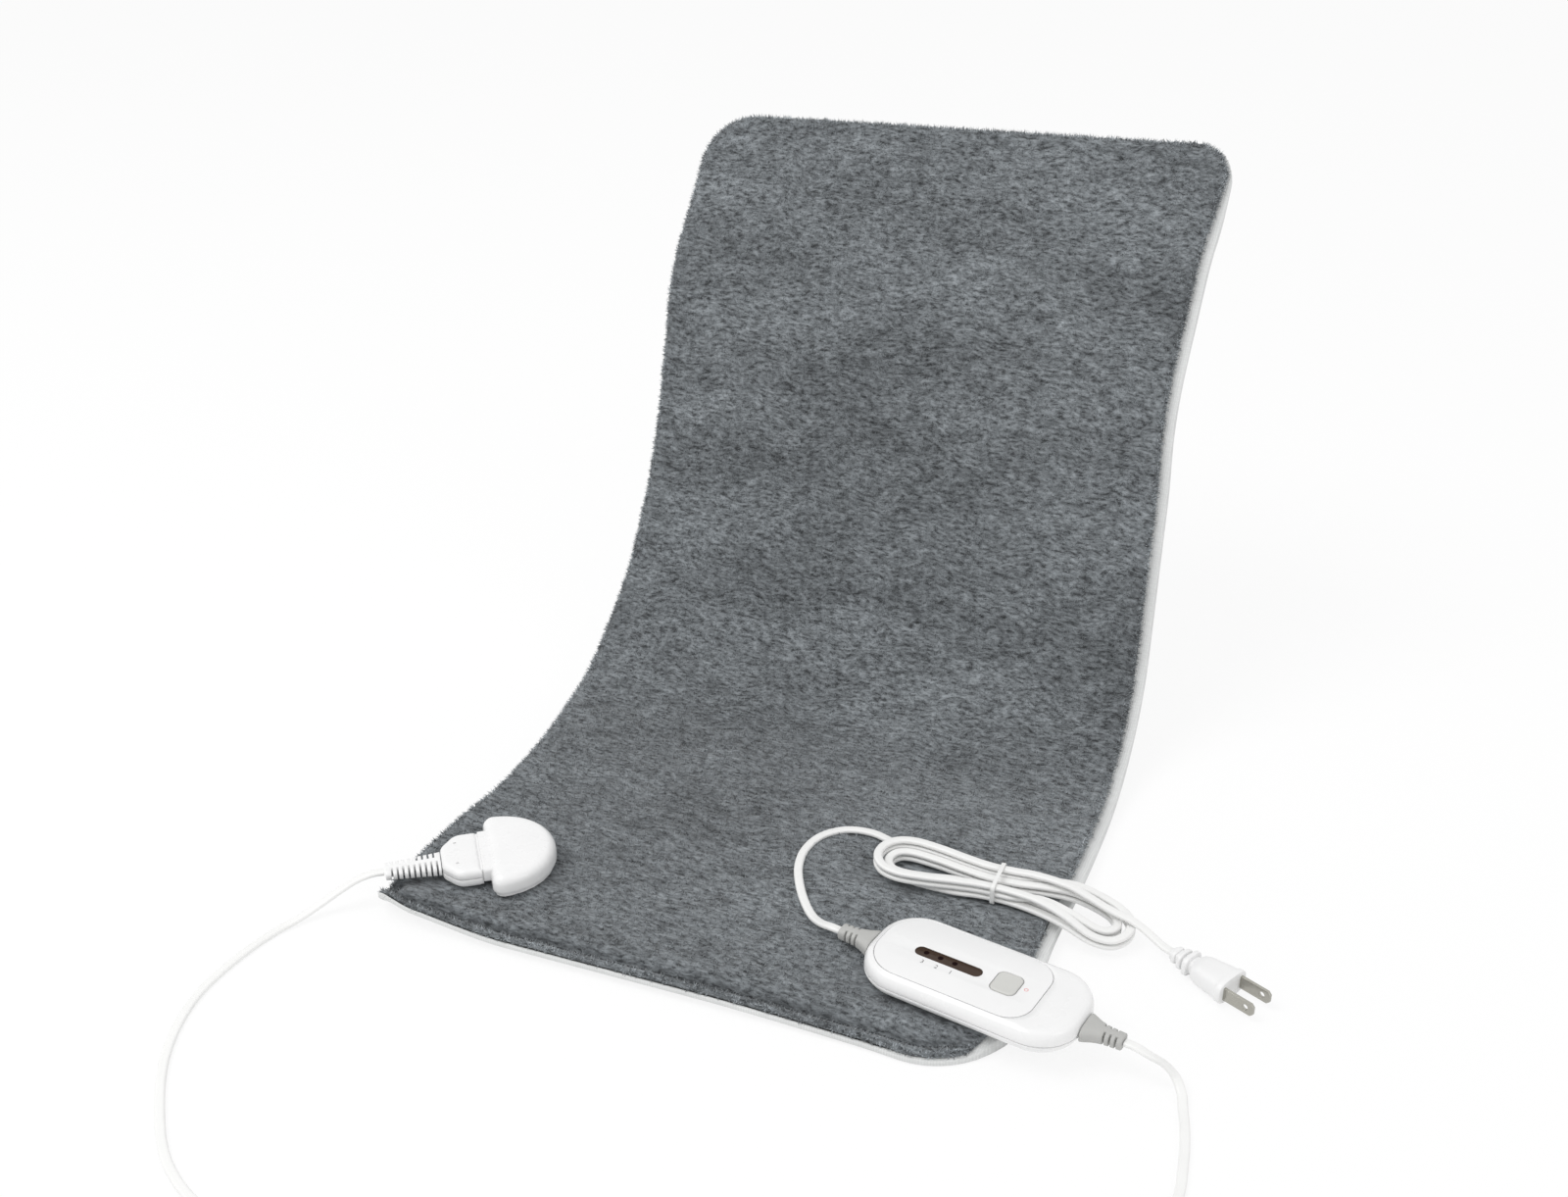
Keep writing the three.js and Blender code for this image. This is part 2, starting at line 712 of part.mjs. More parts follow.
function buildElement() {
  addPart('heating_wire', roundTube(wireRoute(), wireDiameter, wireSides), wireRed, 0.5);
  fuseRows.forEach((row, i) => {
    const along = rowStart + row * rowPitch + wireDiameter / 2 + seatGap + thermalFuse.width / 2;
    const { y, z, angle } = padLine(settled(0, along)[1]);
    const ring = roundedRing(
      -thermalFuse.length / 2, thermalFuse.length / 2, thermalFuse.width / 2, thermalFuse.corner, 2,
    );
    const body = plate(ring(0), -thermalFuse.height / 2, thermalFuse.height / 2);
    const mesh = addPart(`thermal_fuse_${i + 1}`, body, partBlack, 0.5);
    mesh.rotation.x = angle;
    mesh.position.set(0, y - wireLevel * Math.sin(angle), z + wireLevel * Math.cos(angle));
  });
}

// Half-moon outline of the socket: a flat front with round corners, then a half ellipse
function capRing(inset) {
  const centre = Math.max(capCorner, inset);
  const reach = capDepth - inset - centre;
  const half = capHalfWidth - inset;
  const upper = [];
  for (let i = 0; i < capArcSteps / 2; i += 1) {
    const angle = ((2 * i + 1) * Math.PI) / (2 * capArcSteps);
    upper.push([centre + reach * Math.cos(angle), half * Math.sin(angle)]);
  }
  for (const angle of [0, Math.PI / 6, Math.PI / 3, Math.PI / 2]) {
    const x = centre - (centre - inset) * Math.sin(angle);
    upper.push([x, half - capCorner * (1 - Math.cos(angle))]);
  }
  return upper.concat(upper.map(([x, y]) => [x, -y]).reverse());
}

function pinRoute(side, overrun = 0) {
  const v = (side * pinSpacing) / 2;
  const level = (mouthLow + mouthHigh) / 2;
  const foot = wireLevel + wireDiameter / 2 + seatGap - padThickness;
  return points([[-pinReach - overrun, v, level], [pinBack, v, level], [pinBack, v, foot - overrun]]);
}

function buildSocket(frame) {
  const collarRing = roundedRing(capBase, collarHeight, collarHalfWidth, capWall, 2);
  const collar = skin(collarRing, [[0, -collarLength], [0, capWall]], (z, v, u) => [u, v, z]);
  const mouth = block(-cutOverrun, 3 * capWall, -mouthHalfWidth, mouthHalfWidth, mouthLow, mouthHigh);
  const dome = joined(skin(capRing, capProfile), collar);
  addPart('pad_socket_cap', cutFrom(dome, skin(capRing, cavityProfile), mouth), glossWhite, 0.3, 0, frame);

  const floor = skin(capRing, [
    [2 * baseInset, seatGap], [baseInset, baseInset], [baseInset, capBase - seatGap],
  ]);
  const stem = block(
    stemFront, stemBack, -stemHalfWidth, stemHalfWidth, upperFeltBase - padThickness, pinBlockHeight,
  );
  const bores = [1, -1].map((side) => (
    roundTube(pinRoute(side, cutOverrun), pinDiameter + 2 * seatGap, pinSides)
  ));
  addPart('pad_socket_base', cutFrom(joined(floor, stem), ...bores), glossWhite, 0.45, 0, frame);
  [1, -1].forEach((side, i) => {
    const pin = roundTube(pinRoute(side), pinDiameter, pinSides);
    addPart(`pad_socket_pin_${i + 1}`, pin, metal, 0.3, 0.9, frame);
  });
}

// Connector outline, square at the front and chamfered towards the lead
function connectorRing(inset) {
  const front = -collarLength - seatGap;
  const rear = front - connectorLength;
  const upper = [
    [front - inset, connectorHalfWidth - inset],
    [rear + connectorChamferLength + inset / 2, connectorHalfWidth - inset],
    [rear + inset, connectorHalfWidth - connectorChamferDepth - inset / 3],
  ];
  return upper.concat(upper.map(([x, y]) => [x, -y]).reverse());
}

// A slotted strain relief that leaves a wall along +X: flange, neck, tapering sleeve
function slottedRelief(spec) {
  const flangeFace = -spec.wall - spec.setback;
  const sleeveStart = spec.sections[0][0];
  const body = ovalLoft([
    [flangeFace - spec.flangeThickness, spec.flangeWidth, spec.flangeHeight],
    [flangeFace, spec.flangeWidth, spec.flangeHeight],
    [flangeFace, spec.neckWidth, spec.neckHeight],
    [sleeveStart, spec.neckWidth, spec.neckHeight],
    ...spec.sections,
  ], reliefSides, reliefSquareness);
  const slots = [];
  for (let i = 0; i < spec.slotCount; i += 1) {
    for (const [side, stagger] of [[1, 0], [-1, spec.slotPitch / 2]]) {
      const start = spec.firstSlot + i * spec.slotPitch + stagger - spec.slotWidth / 2;
      const ends = [side * spec.spine, side * (spec.spine + cutOverrun)].sort((a, b) => a - b);
      slots.push(block(start, start + spec.slotWidth, ...ends, -cutOverrun, cutOverrun));
    }
  }
  return cutFrom(body, ...slots);
}

// The way of a relief's neck through a wall whose outer face is at the given distance
function neckWay(spec, face, level) {
  const width = spec.neckWidth + seatGap;
  const height = spec.neckHeight + seatGap;
  const start = face - spec.wall - spec.setback;
  return block(start, face + cutOverrun, -width, width, level - height, level + height);
}

function buildConnector(frame) {
  const rear = collarLength + seatGap + connectorLength;
  const axis = connectorParting + seatGap / 2;
  const pinLevel = (mouthLow + mouthHigh) / 2;
  const noseHalf = mouthHalfWidth - seatGap;
  const neck = neckWay(connectorRelief, rear, axis).rotateZ(Math.PI);
  const nose = block(-noseReach, noseReach, -noseHalf, noseHalf, mouthLow + seatGap, mouthHigh - seatGap);
  const sleeve = pinDiameter + 2 * seatGap + 2 * sleeveWall;
  const bores = [];
  [1, -1].forEach((side, i) => {
    const v = (side * pinSpacing) / 2;
    const start = -noseReach + sleeveInset;
    const end = noseReach - sleeveInset;
    const reach = noseReach + cutOverrun;
    bores.push(lyingRod(v, pinLevel, sleeve + 2 * seatGap, -reach, reach, screwSides));
    const inner = sleeve - 2 * sleeveWall;
    const bore = lyingRod(v, pinLevel, inner, start - cutOverrun, end + cutOverrun, screwSides);
    const contact = cutFrom(lyingRod(v, pinLevel, sleeve, start, end, screwSides), bore);
    addCordPart(`connector_contact_${i + 1}`, contact, metal, 0.3, 0.9, frame);
  });
  const lower = joined(skin(connectorRing, lowerConnectorProfile), nose);
  addCordPart('connector_lower_shell', cutFrom(lower, neck, ...bores), glossWhite, 0.35, 0, frame);

  const noseWay = block(
    -noseReach - seatGap, noseReach, -mouthHalfWidth, mouthHalfWidth, mouthLow, mouthHigh,
  );
  const dimples = [1, -1].map((side) => uprightRod(
    -dimple.setback, (side * dimple.spacing) / 2, dimple.diameter, dimple.top - dimple.depth,
    dimple.top + cutOverrun, dimple.sides,
  ));
  const upper = cutFrom(skin(connectorRing, upperConnectorProfile), neck, noseWay, ...dimples);
  addCordPart('connector_upper_shell', upper, glossWhite, 0.35, 0, frame);
  const relief = slottedRelief(connectorRelief).rotateZ(Math.PI).translate(-rear, 0, axis);
  addCordPart('connector_strain_relief', relief, glossWhite, 0.45, 0, frame);
}

const caseRing = roundedRing(-caseLength / 2, caseLength / 2, caseWidth / 2, caseCorner, caseCornerSteps);
const bossPlaces = [[-1, -1], [-1, 1], [1, -1], [1, 1]].map(([x, y]) => (
  [(x * bossSpacingX) / 2, (y * bossSpacingY) / 2]
));
const faceplateTop = caseHeight;
const faceplateBase = faceplateTop - faceplateThickness;

function facePlateRing(inset) {
  return roundedRing(
    faceplateStart, faceplateEnd, faceplateHalfWidth, faceplateNearCorner,
    faceplateCornerSteps, faceplateFarCorner,
  )(inset);
}

function centredRing(x, y, length, width, corner) {
  return roundedRing(-length / 2, length / 2, width / 2, corner, 3)(0).map(([dx, dy]) => [x + dx, y + dy]);
}

function buildCase(frame) {
  const reliefLevel = caseParting + seatGap / 2;
  const necks = [0, Math.PI].map((turn) => (
    neckWay(handsetRelief, caseLength / 2, reliefLevel).rotateZ(turn)
  ));
  const ribs = [-1, 1].map((side) => {
    const centre = (side * ribSpacing) / 2;
    return block(
      centre - ribThickness / 2, centre + ribThickness / 2, -ribHalfLength, ribHalfLength,
      ribFoot, boardLevel - seatGap,
    );
  });
  const posts = bossPlaces.map(([x, y]) => uprightRod(x, y, bossDiameter, ribFoot, caseParting, bossSides));
  const headWay = screwHead + 2 * buttonGap;
  const headTop = screwSeat + screwHeadHeight + seatGap;
  const ways = bossPlaces.flatMap(([x, y]) => [
    uprightRod(x, y, headWay, -cutOverrun, headTop, bossSides),
    uprightRod(x, y, screwShank + 2 * seatGap, -cutOverrun, caseParting + cutOverrun, bossSides),
  ]);
  const bottom = joined(skin(caseRing, bottomCaseProfile), ...ribs, ...posts);
  addPart('handset_bottom_shell', cutFrom(bottom, ...necks, ...ways), glossWhite, 0.35, 0, frame);

  const upperPosts = bossPlaces.map(([x, y]) => (
    uprightRod(x, y, bossDiameter, caseParting + seatGap, bossTop, bossSides)
  ));
  const screwTip = screwSeat + screwHeadHeight + screwLength;
  const pilots = bossPlaces.map(([x, y]) => uprightRod(
    x, y, screwShank + 2 * seatGap, -cutOverrun, screwTip + seatGap, bossSides,
  ));
  const recess = plate(facePlateRing(-seatGap), faceplateBase - seatGap, caseHeight + cutOverrun);
  const lampSlot = block(
    windowX - windowLength / 2 + lampSlotInset, windowX + windowLength / 2 - lampSlotInset,
    windowY - windowWidth / 2 + lampSlotInset, windowY + windowWidth / 2 - lampSlotInset,
    caseCeiling - caseWall, caseHeight,
  );
  const buttonWay = centredRing(
    buttonX, buttonY, buttonLength + 2 * buttonGap, buttonWidth + 2 * buttonGap, buttonCorner + buttonGap,
  );
  const buttonHole = plate(buttonWay, caseCeiling - caseWall, caseHeight);
  const top = joined(skin(caseRing, topCaseProfile), ...upperPosts);
  const opened = cutFrom(top, ...necks, ...pilots, recess, lampSlot, buttonHole);
  addPart('handset_top_shell', opened, glossWhite, 0.35, 0, frame);

  const windowWay = centredRing(
    windowX, windowY, windowLength + 2 * seatGap, windowWidth + 2 * seatGap, windowCorner + seatGap,
  );
  const faceplate = plate(facePlateRing(0), faceplateBase, faceplateTop, [windowWay, buttonWay]);
  addPart('handset_faceplate', faceplate, glossWhite, 0.4, 0, frame);
  const paneRing = centredRing(windowX, windowY, windowLength, windowWidth, windowCorner);
  const pane = plate(paneRing, faceplateBase, faceplateTop);
  addPart('indicator_window', pane, windowBrown, 0.15, 0, frame);

  const head = screwHead / 2;
  const shank = screwShank / 2;
  const outline = [
    [0, 0], [head, 0], [head, screwHeadHeight], [shank, screwHeadHeight],
    [shank, screwHeadHeight + screwLength], [0, screwHeadHeight + screwLength],
  ].map(([r, z]) => new THREE.Vector2(r, z));
  bossPlaces.forEach(([x, y], i) => {
    const screw = new THREE.LatheGeometry(outline, screwSides).rotateX(Math.PI / 2);
    const long = screwCross.length / 2;
    const short = screwCross.width / 2;
    const cross = [[long, short], [short, long]].map(([a, b]) => (
      block(-a, a, -b, b, -cutOverrun, screwCross.depth)
    ));
    const crossed = cutFrom(screw, ...cross).translate(x, y, screwSeat);
    addPart(`case_screw_${i + 1}`, crossed, metal, 0.35, 0.9, frame);
  });
  [['pad', 0], ['mains', Math.PI]].forEach(([end, turn]) => {
    const relief = slottedRelief(handsetRelief).translate(caseLength / 2, 0, reliefLevel).rotateZ(turn);
    addPart(`handset_strain_relief_${end}`, relief, reliefGrey, 0.5, 0, frame);
  });
}

function componentBlock({ x, y, length, width, height }, base) {
  return block(x - length / 2, x + length / 2, y - width / 2, y + width / 2, base, base + height);
}

function buildBoard(frame) {
  const onBoard = boardLevel + boardThickness + seatGap;
  const board = block(
    -boardLength / 2, boardLength / 2, -boardWidth / 2, boardWidth / 2,
    boardLevel, boardLevel + boardThickness,
  );
  addPart('circuit_board', board, boardGreen, 0.6, 0, frame);
  addPart('microcontroller', componentBlock(microcontroller, onBoard), partBlack, 0.5, 0, frame);
  addPart('triac', componentBlock(triac, onBoard), partBlack, 0.5, 0, frame);
  addPart('film_capacitor', componentBlock(filmCapacitor, onBoard), wireRed, 0.45, 0, frame);

  const { x, y, length, diameter, capLength, capDiameter, sides } = boardFuse;
  const fuseLevel = onBoard + capDiameter / 2;
  const glass = lyingRod(y, fuseLevel, diameter, x - length / 2 + seatGap, x + length / 2 - seatGap, sides);
  const caps = [x - length / 2, x + length / 2 - capLength].map(
    (start) => lyingRod(y, fuseLevel, capDiameter, start, start + capLength, sides),
  );
  addPart('board_fuse', joined(glass, ...caps), metal, 0.4, 0.6, frame);

  const radius = lampDiameter / 2;
  const lampOutline = [
    [0, 0], [radius, 0], [radius, lampHeight - radius],
    [radius * Math.cos(Math.PI / 4), lampHeight - radius + radius * Math.sin(Math.PI / 4)],
    [0, lampHeight],
  ].map(([r, z]) => new THREE.Vector2(r, z));
  for (let i = 0; i < lampCount; i += 1) {
    const lamp = new THREE.LatheGeometry(lampOutline, lampSides).rotateX(Math.PI / 2);
    lamp.translate(firstLamp + i * lampSpacing, windowY, onBoard);
    addPart(`indicator_led_${i + 1}`, lamp, glossWhite, 0.2, 0, frame);
  }
}

function buildButton(frame) {
  const onBoard = boardLevel + boardThickness + seatGap;
  const lipTop = caseCeiling - seatGap;
  const lipBase = lipTop - buttonLipThickness;
  const capTop = faceplateTop + buttonProud;
  const capLevels = [[0, lipTop], [0, capTop - buttonEdge], [buttonEdge, capTop]];
  const cap = skin(
    roundedRing(-buttonLength / 2, buttonLength / 2, buttonWidth / 2, buttonCorner, 4), capLevels,
  );
  const lipX = buttonLength / 2 + buttonLip;
  const lipY = buttonWidth / 2 + buttonLip;
  const lip = block(-lipX, lipX, -lipY, lipY, lipBase, lipTop + seatGap / 2);
  const button = joined(lip, cap).translate(buttonX, buttonY, 0);
  addPart('power_button', button, buttonGrey, 0.4, 0, frame);

  const plungerTop = lipBase - seatGap;
  const plungerFoot = plungerTop - plungerLength;
  const plunger = uprightRod(buttonX, buttonY, plungerDiameter, plungerFoot, plungerTop, bossSides);
  addPart('switch_plunger', plunger, partBlack, 0.5, 0, frame);
  const body = componentBlock(
    { x: buttonX, y: buttonY, length: switchSize, width: switchSize, height: switchHeight }, onBoard,
  );
  const bore = uprightRod(
    buttonX, buttonY, plungerDiameter + 2 * seatGap, plungerFoot - buttonTravel - seatGap,
    plungerTop + cutOverrun, bossSides,
  );
  addPart('switch_body', cutFrom(body, bore), partBlack, 0.45, 0, frame);
}

// A free stretch of cord: a smooth line between straight ends, never below the floor
function cordStretch(name, route) {
  const chosen = points(route);
  const curve = new THREE.CatmullRomCurve3(chosen.slice(1, -1), false, 'centripetal');
  const inner = curve.getSpacedPoints(Math.ceil(curve.getLength() / cordStep));
  const stations = [chosen[0], ...inner, chosen[chosen.length - 1]];
  stations.forEach((station) => { station.z = Math.max(station.z, cordFloorLevel); });
  addCordPart(name, tube(stations, cordWidth, cordThickness, cordSides), glossWhite, 0.5);
}

// A place in the hank: along it, on the back or the front side, in a column and a layer
function hankShape(x, columnShare, layer) {
  const [run, columns, pitch] = x < 0
    ? [hankLeftRun, leftColumns, leftPitch] : [hankRightRun, rightColumns, rightPitch];
  const ease = (1 - Math.cos(Math.PI * Math.min(Math.abs(x) / run, 1))) / 2;
  const [inner, outer] = waistColumns.map((waist, i) => waist + (columns[i] - waist) * ease);
  return {
    half: inner + (outer - inner) * columnShare,
    level: hankBase + layer * (waistPitch + (pitch - waistPitch) * ease),
  };
}

function hankPoint(x, y, level) {
  const droop = droopDepth * smooth((x - droopStart) / droopLength);
  return new THREE.Vector3(hankX + x, hankY + y, level - droop);
}

function hankStations() {
  const stations = [];
  const loops = hankLayers.length - 1;
  const span = hankLeftRun + hankRightRun;
  const run = (side, startX, endX, columnAt, layerAt, steps = runSteps) => {
    for (let i = 0; i <= steps; i += 1) {
      const x = startX + ((endX - startX) * i) / runSteps;
      const { half, level } = hankShape(x, columnAt(i), layerAt(i));
      stations.push(hankPoint(x, side * half, level));
    }
  };
  const turn = (side, endX, columnShare, layer) => {
    const { half, level } = hankShape(endX, columnShare, layer);
    for (let i = 1; i < turnSteps; i += 1) {
      const angle = (Math.PI * i) / turnSteps;
      const x = endX + Math.sign(endX) * half * Math.sin(angle);
      stations.push(hankPoint(x, side * half * Math.cos(angle), level));
    }
  };
  for (let loop = 0; loop <= loops; loop += 1) {
    const columnShare = hankColumnShares[loop];
    const layer = hankLayers[loop];
    const steps = loop === loops ? lastRunSteps : runSteps;
    run(1, -hankLeftRun, hankRightRun, () => columnShare, () => layer, steps);
    if (loop === loops) break;
    turn(1, hankRightRun, columnShare, layer);
    const nextShare = hankColumnShares[loop + 1];
    const nextLayer = hankLayers[loop + 1];
    const change = (i) => smooth((i - changeStart[loop]) / (changeEnd[loop] - changeStart[loop]));
    run(
      -1, hankRightRun, hankRightRun - span,
      (i) => columnShare + (nextShare - columnShare) * change(i),
      (i) => layer + (nextLayer - layer) * change(i),
    );
    turn(-1, -hankLeftRun, nextShare, nextLayer);
  }
  return stations;
}

// The least distance between the faces of two stretches of the hank that aren't neighbours.
// The flat of the cord lies level and across its run.
function leastGap(stations) {
  const samples = [];
  for (let step = 0; step < stations.length - 1; step += 1) {
    const along = stations[step + 1].clone().sub(stations[step]).normalize();
    const across = new THREE.Vector3(0, 0, 1).cross(along).normalize();
    for (let j = 0; j < gapSamples; j += 1) {
      const point = stations[step].clone().lerp(stations[step + 1], j / gapSamples);
      samples.push({ point, step, along, across });
    }
  }
  const flat = cordWidth - cordThickness;
  let least = Infinity;
  samples.forEach(({ point, step, along, across }, i) => {
    for (const other of samples.slice(i)) {
      if (other.step - step <= gapSkip) continue;
      const apart = other.point.clone().sub(point);
      const sideways = apart.dot(across);
      const rest = apart.addScaledVector(across, -sideways);
      least = Math.min(least, Math.hypot(Math.max(Math.abs(sideways) - flat, 0), rest.length()));
    }
  });
  return least - cordThickness;
}

function buildHank() {
  const stations = hankStations();
  console.log(`hank: least gap to itself ${leastGap(stations).toFixed(2)} mm`);
  addCordPart('mains_lead_hank', tube(stations, cordWidth, cordThickness, hankSides), glossWhite, 0.5);

  const layers = Math.max(...hankLayers);
  const half = waistColumns[1] + cordWidth / 2 + tieRoom;
  const low = hankBase - cordThickness / 2 - seatGap;
  const high = hankBase + layers * waistPitch + cordThickness / 2 + seatGap;
  const ring = roundedRing(low, high, half, tieCorner, tieCornerSteps);
  const upright = (z, y, x) => [hankX + x, hankY + y, z];
  const outer = skin(ring, [[-tieThickness, -tieWidth / 2], [-tieThickness, tieWidth / 2]], upright);
  const inner = skin(ring, [[0, -tieWidth], [0, tieWidth]], upright);
  addCordPart('hank_tie', cutFrom(outer, inner), glossWhite, 0.55);
}

function buildPlug(frame) {
  const relief = ovalLoft(plugReliefSections, plugSides, plugSquareness);
  addCordPart('plug_strain_relief', relief, glossWhite, 0.5, 0, frame);
  const face = plugBodySections[plugBodySections.length - 1][0];
  const rootEnd = face - bladeRoot;
  const bladeHalf = bladeWidth / 2;
  const thick = bladeThickness / 2;
  const pockets = [1, -1].map((side) => {
    const y = (side * bladeSpacing) / 2;
    const width = thick + seatGap;
    const height = bladeHalf + seatGap;
    return block(rootEnd - seatGap, face + cutOverrun, y - width, y + width, -height, height);
  });
  const body = cutFrom(ovalLoft(plugBodySections, plugSides, plugSquareness), ...pockets);
  addCordPart('plug_body', body, glossWhite, 0.45, 0, frame);

  const tip = face + bladeLength;
  const outline = [
    [rootEnd, -bladeHalf], [tip - bladeTaper, -bladeHalf], [tip, -bladeHalf + bladeTaper],
    [tip, bladeHalf - bladeTaper], [tip - bladeTaper, bladeHalf], [rootEnd, bladeHalf],
  ];
  [1, -1].forEach((side, i) => {
    const y = (side * bladeSpacing) / 2;
    const blade = plate(outline, -thick, thick);
    const hole = uprightRod(
      tip - bladeHoleSetback, 0, bladeHoleDiameter, -cutOverrun, cutOverrun, bladeHoleSides,
    );
    const drilled = cutFrom(blade, hole).rotateX(Math.PI / 2).translate(0, y, 0);
    addCordPart(`plug_blade_${i + 1}`, drilled, metal, 0.3, 0.9, frame);
  });
}

buildPad();
buildElement();
const socketFrame = frameAt(socketX, socketY, padThickness, socketTurn);
buildSocket(socketFrame);
buildConnector(socketFrame);
const handsetFrame = frameAt(handsetX, handsetY, padThickness + handsetRestGap, handsetTurn);
buildCase(handsetFrame);
buildBoard(handsetFrame);
buildButton(handsetFrame);
cordStretch('pad_lead', padLeadRoute);
cordStretch('mains_lead_loop', mainsLoopRoute);
buildHank();
cordStretch('mains_lead_tail', mainsTailRoute);
buildPlug(frameAt(plugX, plugY, plugLevel, plugTurn));

// The origin lies under the middle of the part without its cords
part.updateMatrixWorld(true);
const bounds = new THREE.Box3();
part.traverse((node) => {
  if (node.isMesh && !onCord.has(node)) bounds.union(new THREE.Box3().setFromObject(node, true));
});
const middle = bounds.getCenter(new THREE.Vector3());
assembly.position.set(-middle.x, -middle.y, -bounds.min.z);

export default part;
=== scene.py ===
"""Looks of a plush heating pad with its socket, connector, handset, leads and plug."""

import math

import bmesh
import bpy
import numpy as np
from mathutils import Matrix, Vector


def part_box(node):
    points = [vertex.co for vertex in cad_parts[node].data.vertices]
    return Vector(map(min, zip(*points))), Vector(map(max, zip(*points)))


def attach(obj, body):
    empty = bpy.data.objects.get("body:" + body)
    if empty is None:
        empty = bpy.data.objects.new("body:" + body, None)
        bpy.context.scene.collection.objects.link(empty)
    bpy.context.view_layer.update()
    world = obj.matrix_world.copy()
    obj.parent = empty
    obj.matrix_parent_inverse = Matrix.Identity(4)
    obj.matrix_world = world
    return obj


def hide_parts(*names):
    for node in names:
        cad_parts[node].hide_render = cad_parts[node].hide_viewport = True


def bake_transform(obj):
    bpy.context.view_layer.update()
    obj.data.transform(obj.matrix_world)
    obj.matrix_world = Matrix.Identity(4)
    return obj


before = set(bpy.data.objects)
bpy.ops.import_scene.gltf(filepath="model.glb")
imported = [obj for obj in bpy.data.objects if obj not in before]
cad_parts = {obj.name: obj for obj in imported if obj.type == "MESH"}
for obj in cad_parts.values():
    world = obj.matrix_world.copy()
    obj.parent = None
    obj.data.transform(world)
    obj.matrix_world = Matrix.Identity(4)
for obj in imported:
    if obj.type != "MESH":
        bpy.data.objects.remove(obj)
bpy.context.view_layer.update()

bl_info = {
    "name": "Heating Pad",
    "version": (1, 0, 0),
    "blender": (4, 5, 0),
    "location": "View3D > Sidebar > Heating Pad",
    "description": "Makes a bent plush heating pad with a plug-in lead and a push-button handset",
    "category": "Add Mesh",
}

ROOT = "pad_and_controller"
CONNECTOR = "connector"
BUTTON = "button"
MM = 0.001

# Places come from the frame: the pad's own origin is the middle of its front edge, on the floor,
# and the circuit board lies at the handset's middle
HANDSET_PLACE = (0.1371, 0.043)
board_low, board_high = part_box("circuit_board")
PAD_ORIGIN = Vector((
    (board_low.x + board_high.x) / 2 - HANDSET_PLACE[0],
    (board_low.y + board_high.y) / 2 - HANDSET_PLACE[1], 0,
))


# Settings


def size(name, text, default):
    return bpy.props.FloatProperty(
        name=name, description=text, default=default, unit="LENGTH", subtype="DISTANCE", precision=4,
    )


def angle(name, text, degrees):
    return bpy.props.FloatProperty(
        name=name, description=text, default=math.radians(degrees), unit="ROTATION", subtype="ANGLE",
    )


def share(name, text, default):
    return bpy.props.FloatProperty(name=name, description=text, default=default, subtype="FACTOR")


def amount(name, text, default):
    return bpy.props.FloatProperty(name=name, description=text, default=default)


def colour(name, text, default):
    return bpy.props.FloatVectorProperty(
        name=name, description=text, default=default, subtype="COLOR", size=3, min=0, max=1,
    )


class PadSettings(bpy.types.PropertyGroup):
    """Sizes of the pad, its bends and its sewn edge."""

    width: size("Width", "Across the pad", 0.303)
    length: size("Length", "Along the pad's own surface", 0.6015)
    thickness: size("Thickness", "From the underside to the plush backing", 0.0115)
    band_height: size("Band height", "Height of the pale edge band", 0.0074)
    cover_base: size("Cover base", "Height where the plush cover starts", 0.0075)
    cover_edge: size("Cover edge", "How far the plush cover stops short of the band", 0.0018)
    sheet: size("Back sheet", "Thickness of the back sheet", 0.0014)
    flat_length: size("Flat length", "Length that lies on the floor", 0.2284)
    lower_bend: size("Lower bend", "Radius of the bend from the seat to the back", 0.064)
    soft_bend: size("Soft bend", "Rounder radius that the padding takes at the bend", 0.107)
    rise: angle("Rise", "Steepest slope of the back", 64.5)
    back_length: size("Back length", "Straight length above the lower bend", 0.1394)
    upper_bend: size("Upper bend", "Radius of the backward lean at the top", 0.62)
    lift: size("Front lift", "Rise of the front edge", 0.005)
    lift_length: size("Lift length", "How far in the front edge curls", 0.024)
    lift_end: size("Lift end", "Where the solid's curl starts to fade towards the handset", 0.05)
    lift_fade: size("Lift fade", "Length over which the solid's curl fades", 0.04)
    soft_lift_end: size("Soft lift end", "Where the padding's curl starts to fade", 0.015)
    soft_lift_fade: size("Soft lift fade", "Length over which the padding's curl fades", 0.12)
    corner_lift: size("Corner lift", "Extra rise of the front left corner", 0.0055)
    corner_reach: size("Corner reach", "How far the corner's rise reaches", 0.022)
    far_slack: size("Far slack", "How much shorter the pad hangs at its far left corner", 0.0094)
    solid_slack: size("Solid slack", "The part of that slack that the solids have", 0.006)
    front_back: size("Front set back", "How far the front edge is drawn in", 0.0035)
    front_hang: size("Front hang", "How much lower the plush comes down at the front edge", 0.0043)
    flange: size("Flange", "Height of the plush between the front seam and the edge", 0.0059)
    shoulder: size("Shoulder", "How far in the plush rises behind the front seam", 0.011)
    seam_inset: size("Seam inset", "From the plush edge to the front seam", 0.006)
    seam_depth: size("Seam depth", "Depth of the front seam", 0.0026)
    layer_back: size("Layers back", "How far the inner layers keep from the front edge", 0.024)
    left_lift: size("Left lift", "Extra rise of the front edge at its left", 0.0105)
    flare: size("Flare", "How far the right edge band stands out past the plush", 0.0038)
    rim: size("Rim", "Width of the edge band's upper face", 0.0015)
    tuck: size("Tuck", "How far the right band reaches in under the plush", 0.0022)
    roll: size("Edge roll", "Radius of the plush edge", 0.0032)
    pile: size("Pile", "Length of a plush fibre", 0.0024)
    pile_width: size("Pile width", "Half width of a tuft at its foot", 0.00033)
    pile_density: amount("Pile density", "Tufts per square metre", 330000)
    stitch: size("Stitch", "Length of a stitch", 0.0029)
    stitch_pitch: size("Stitch pitch", "From one stitch to the next", 0.0034)
    thread: size("Thread", "Radius of the seam thread", 0.0007)


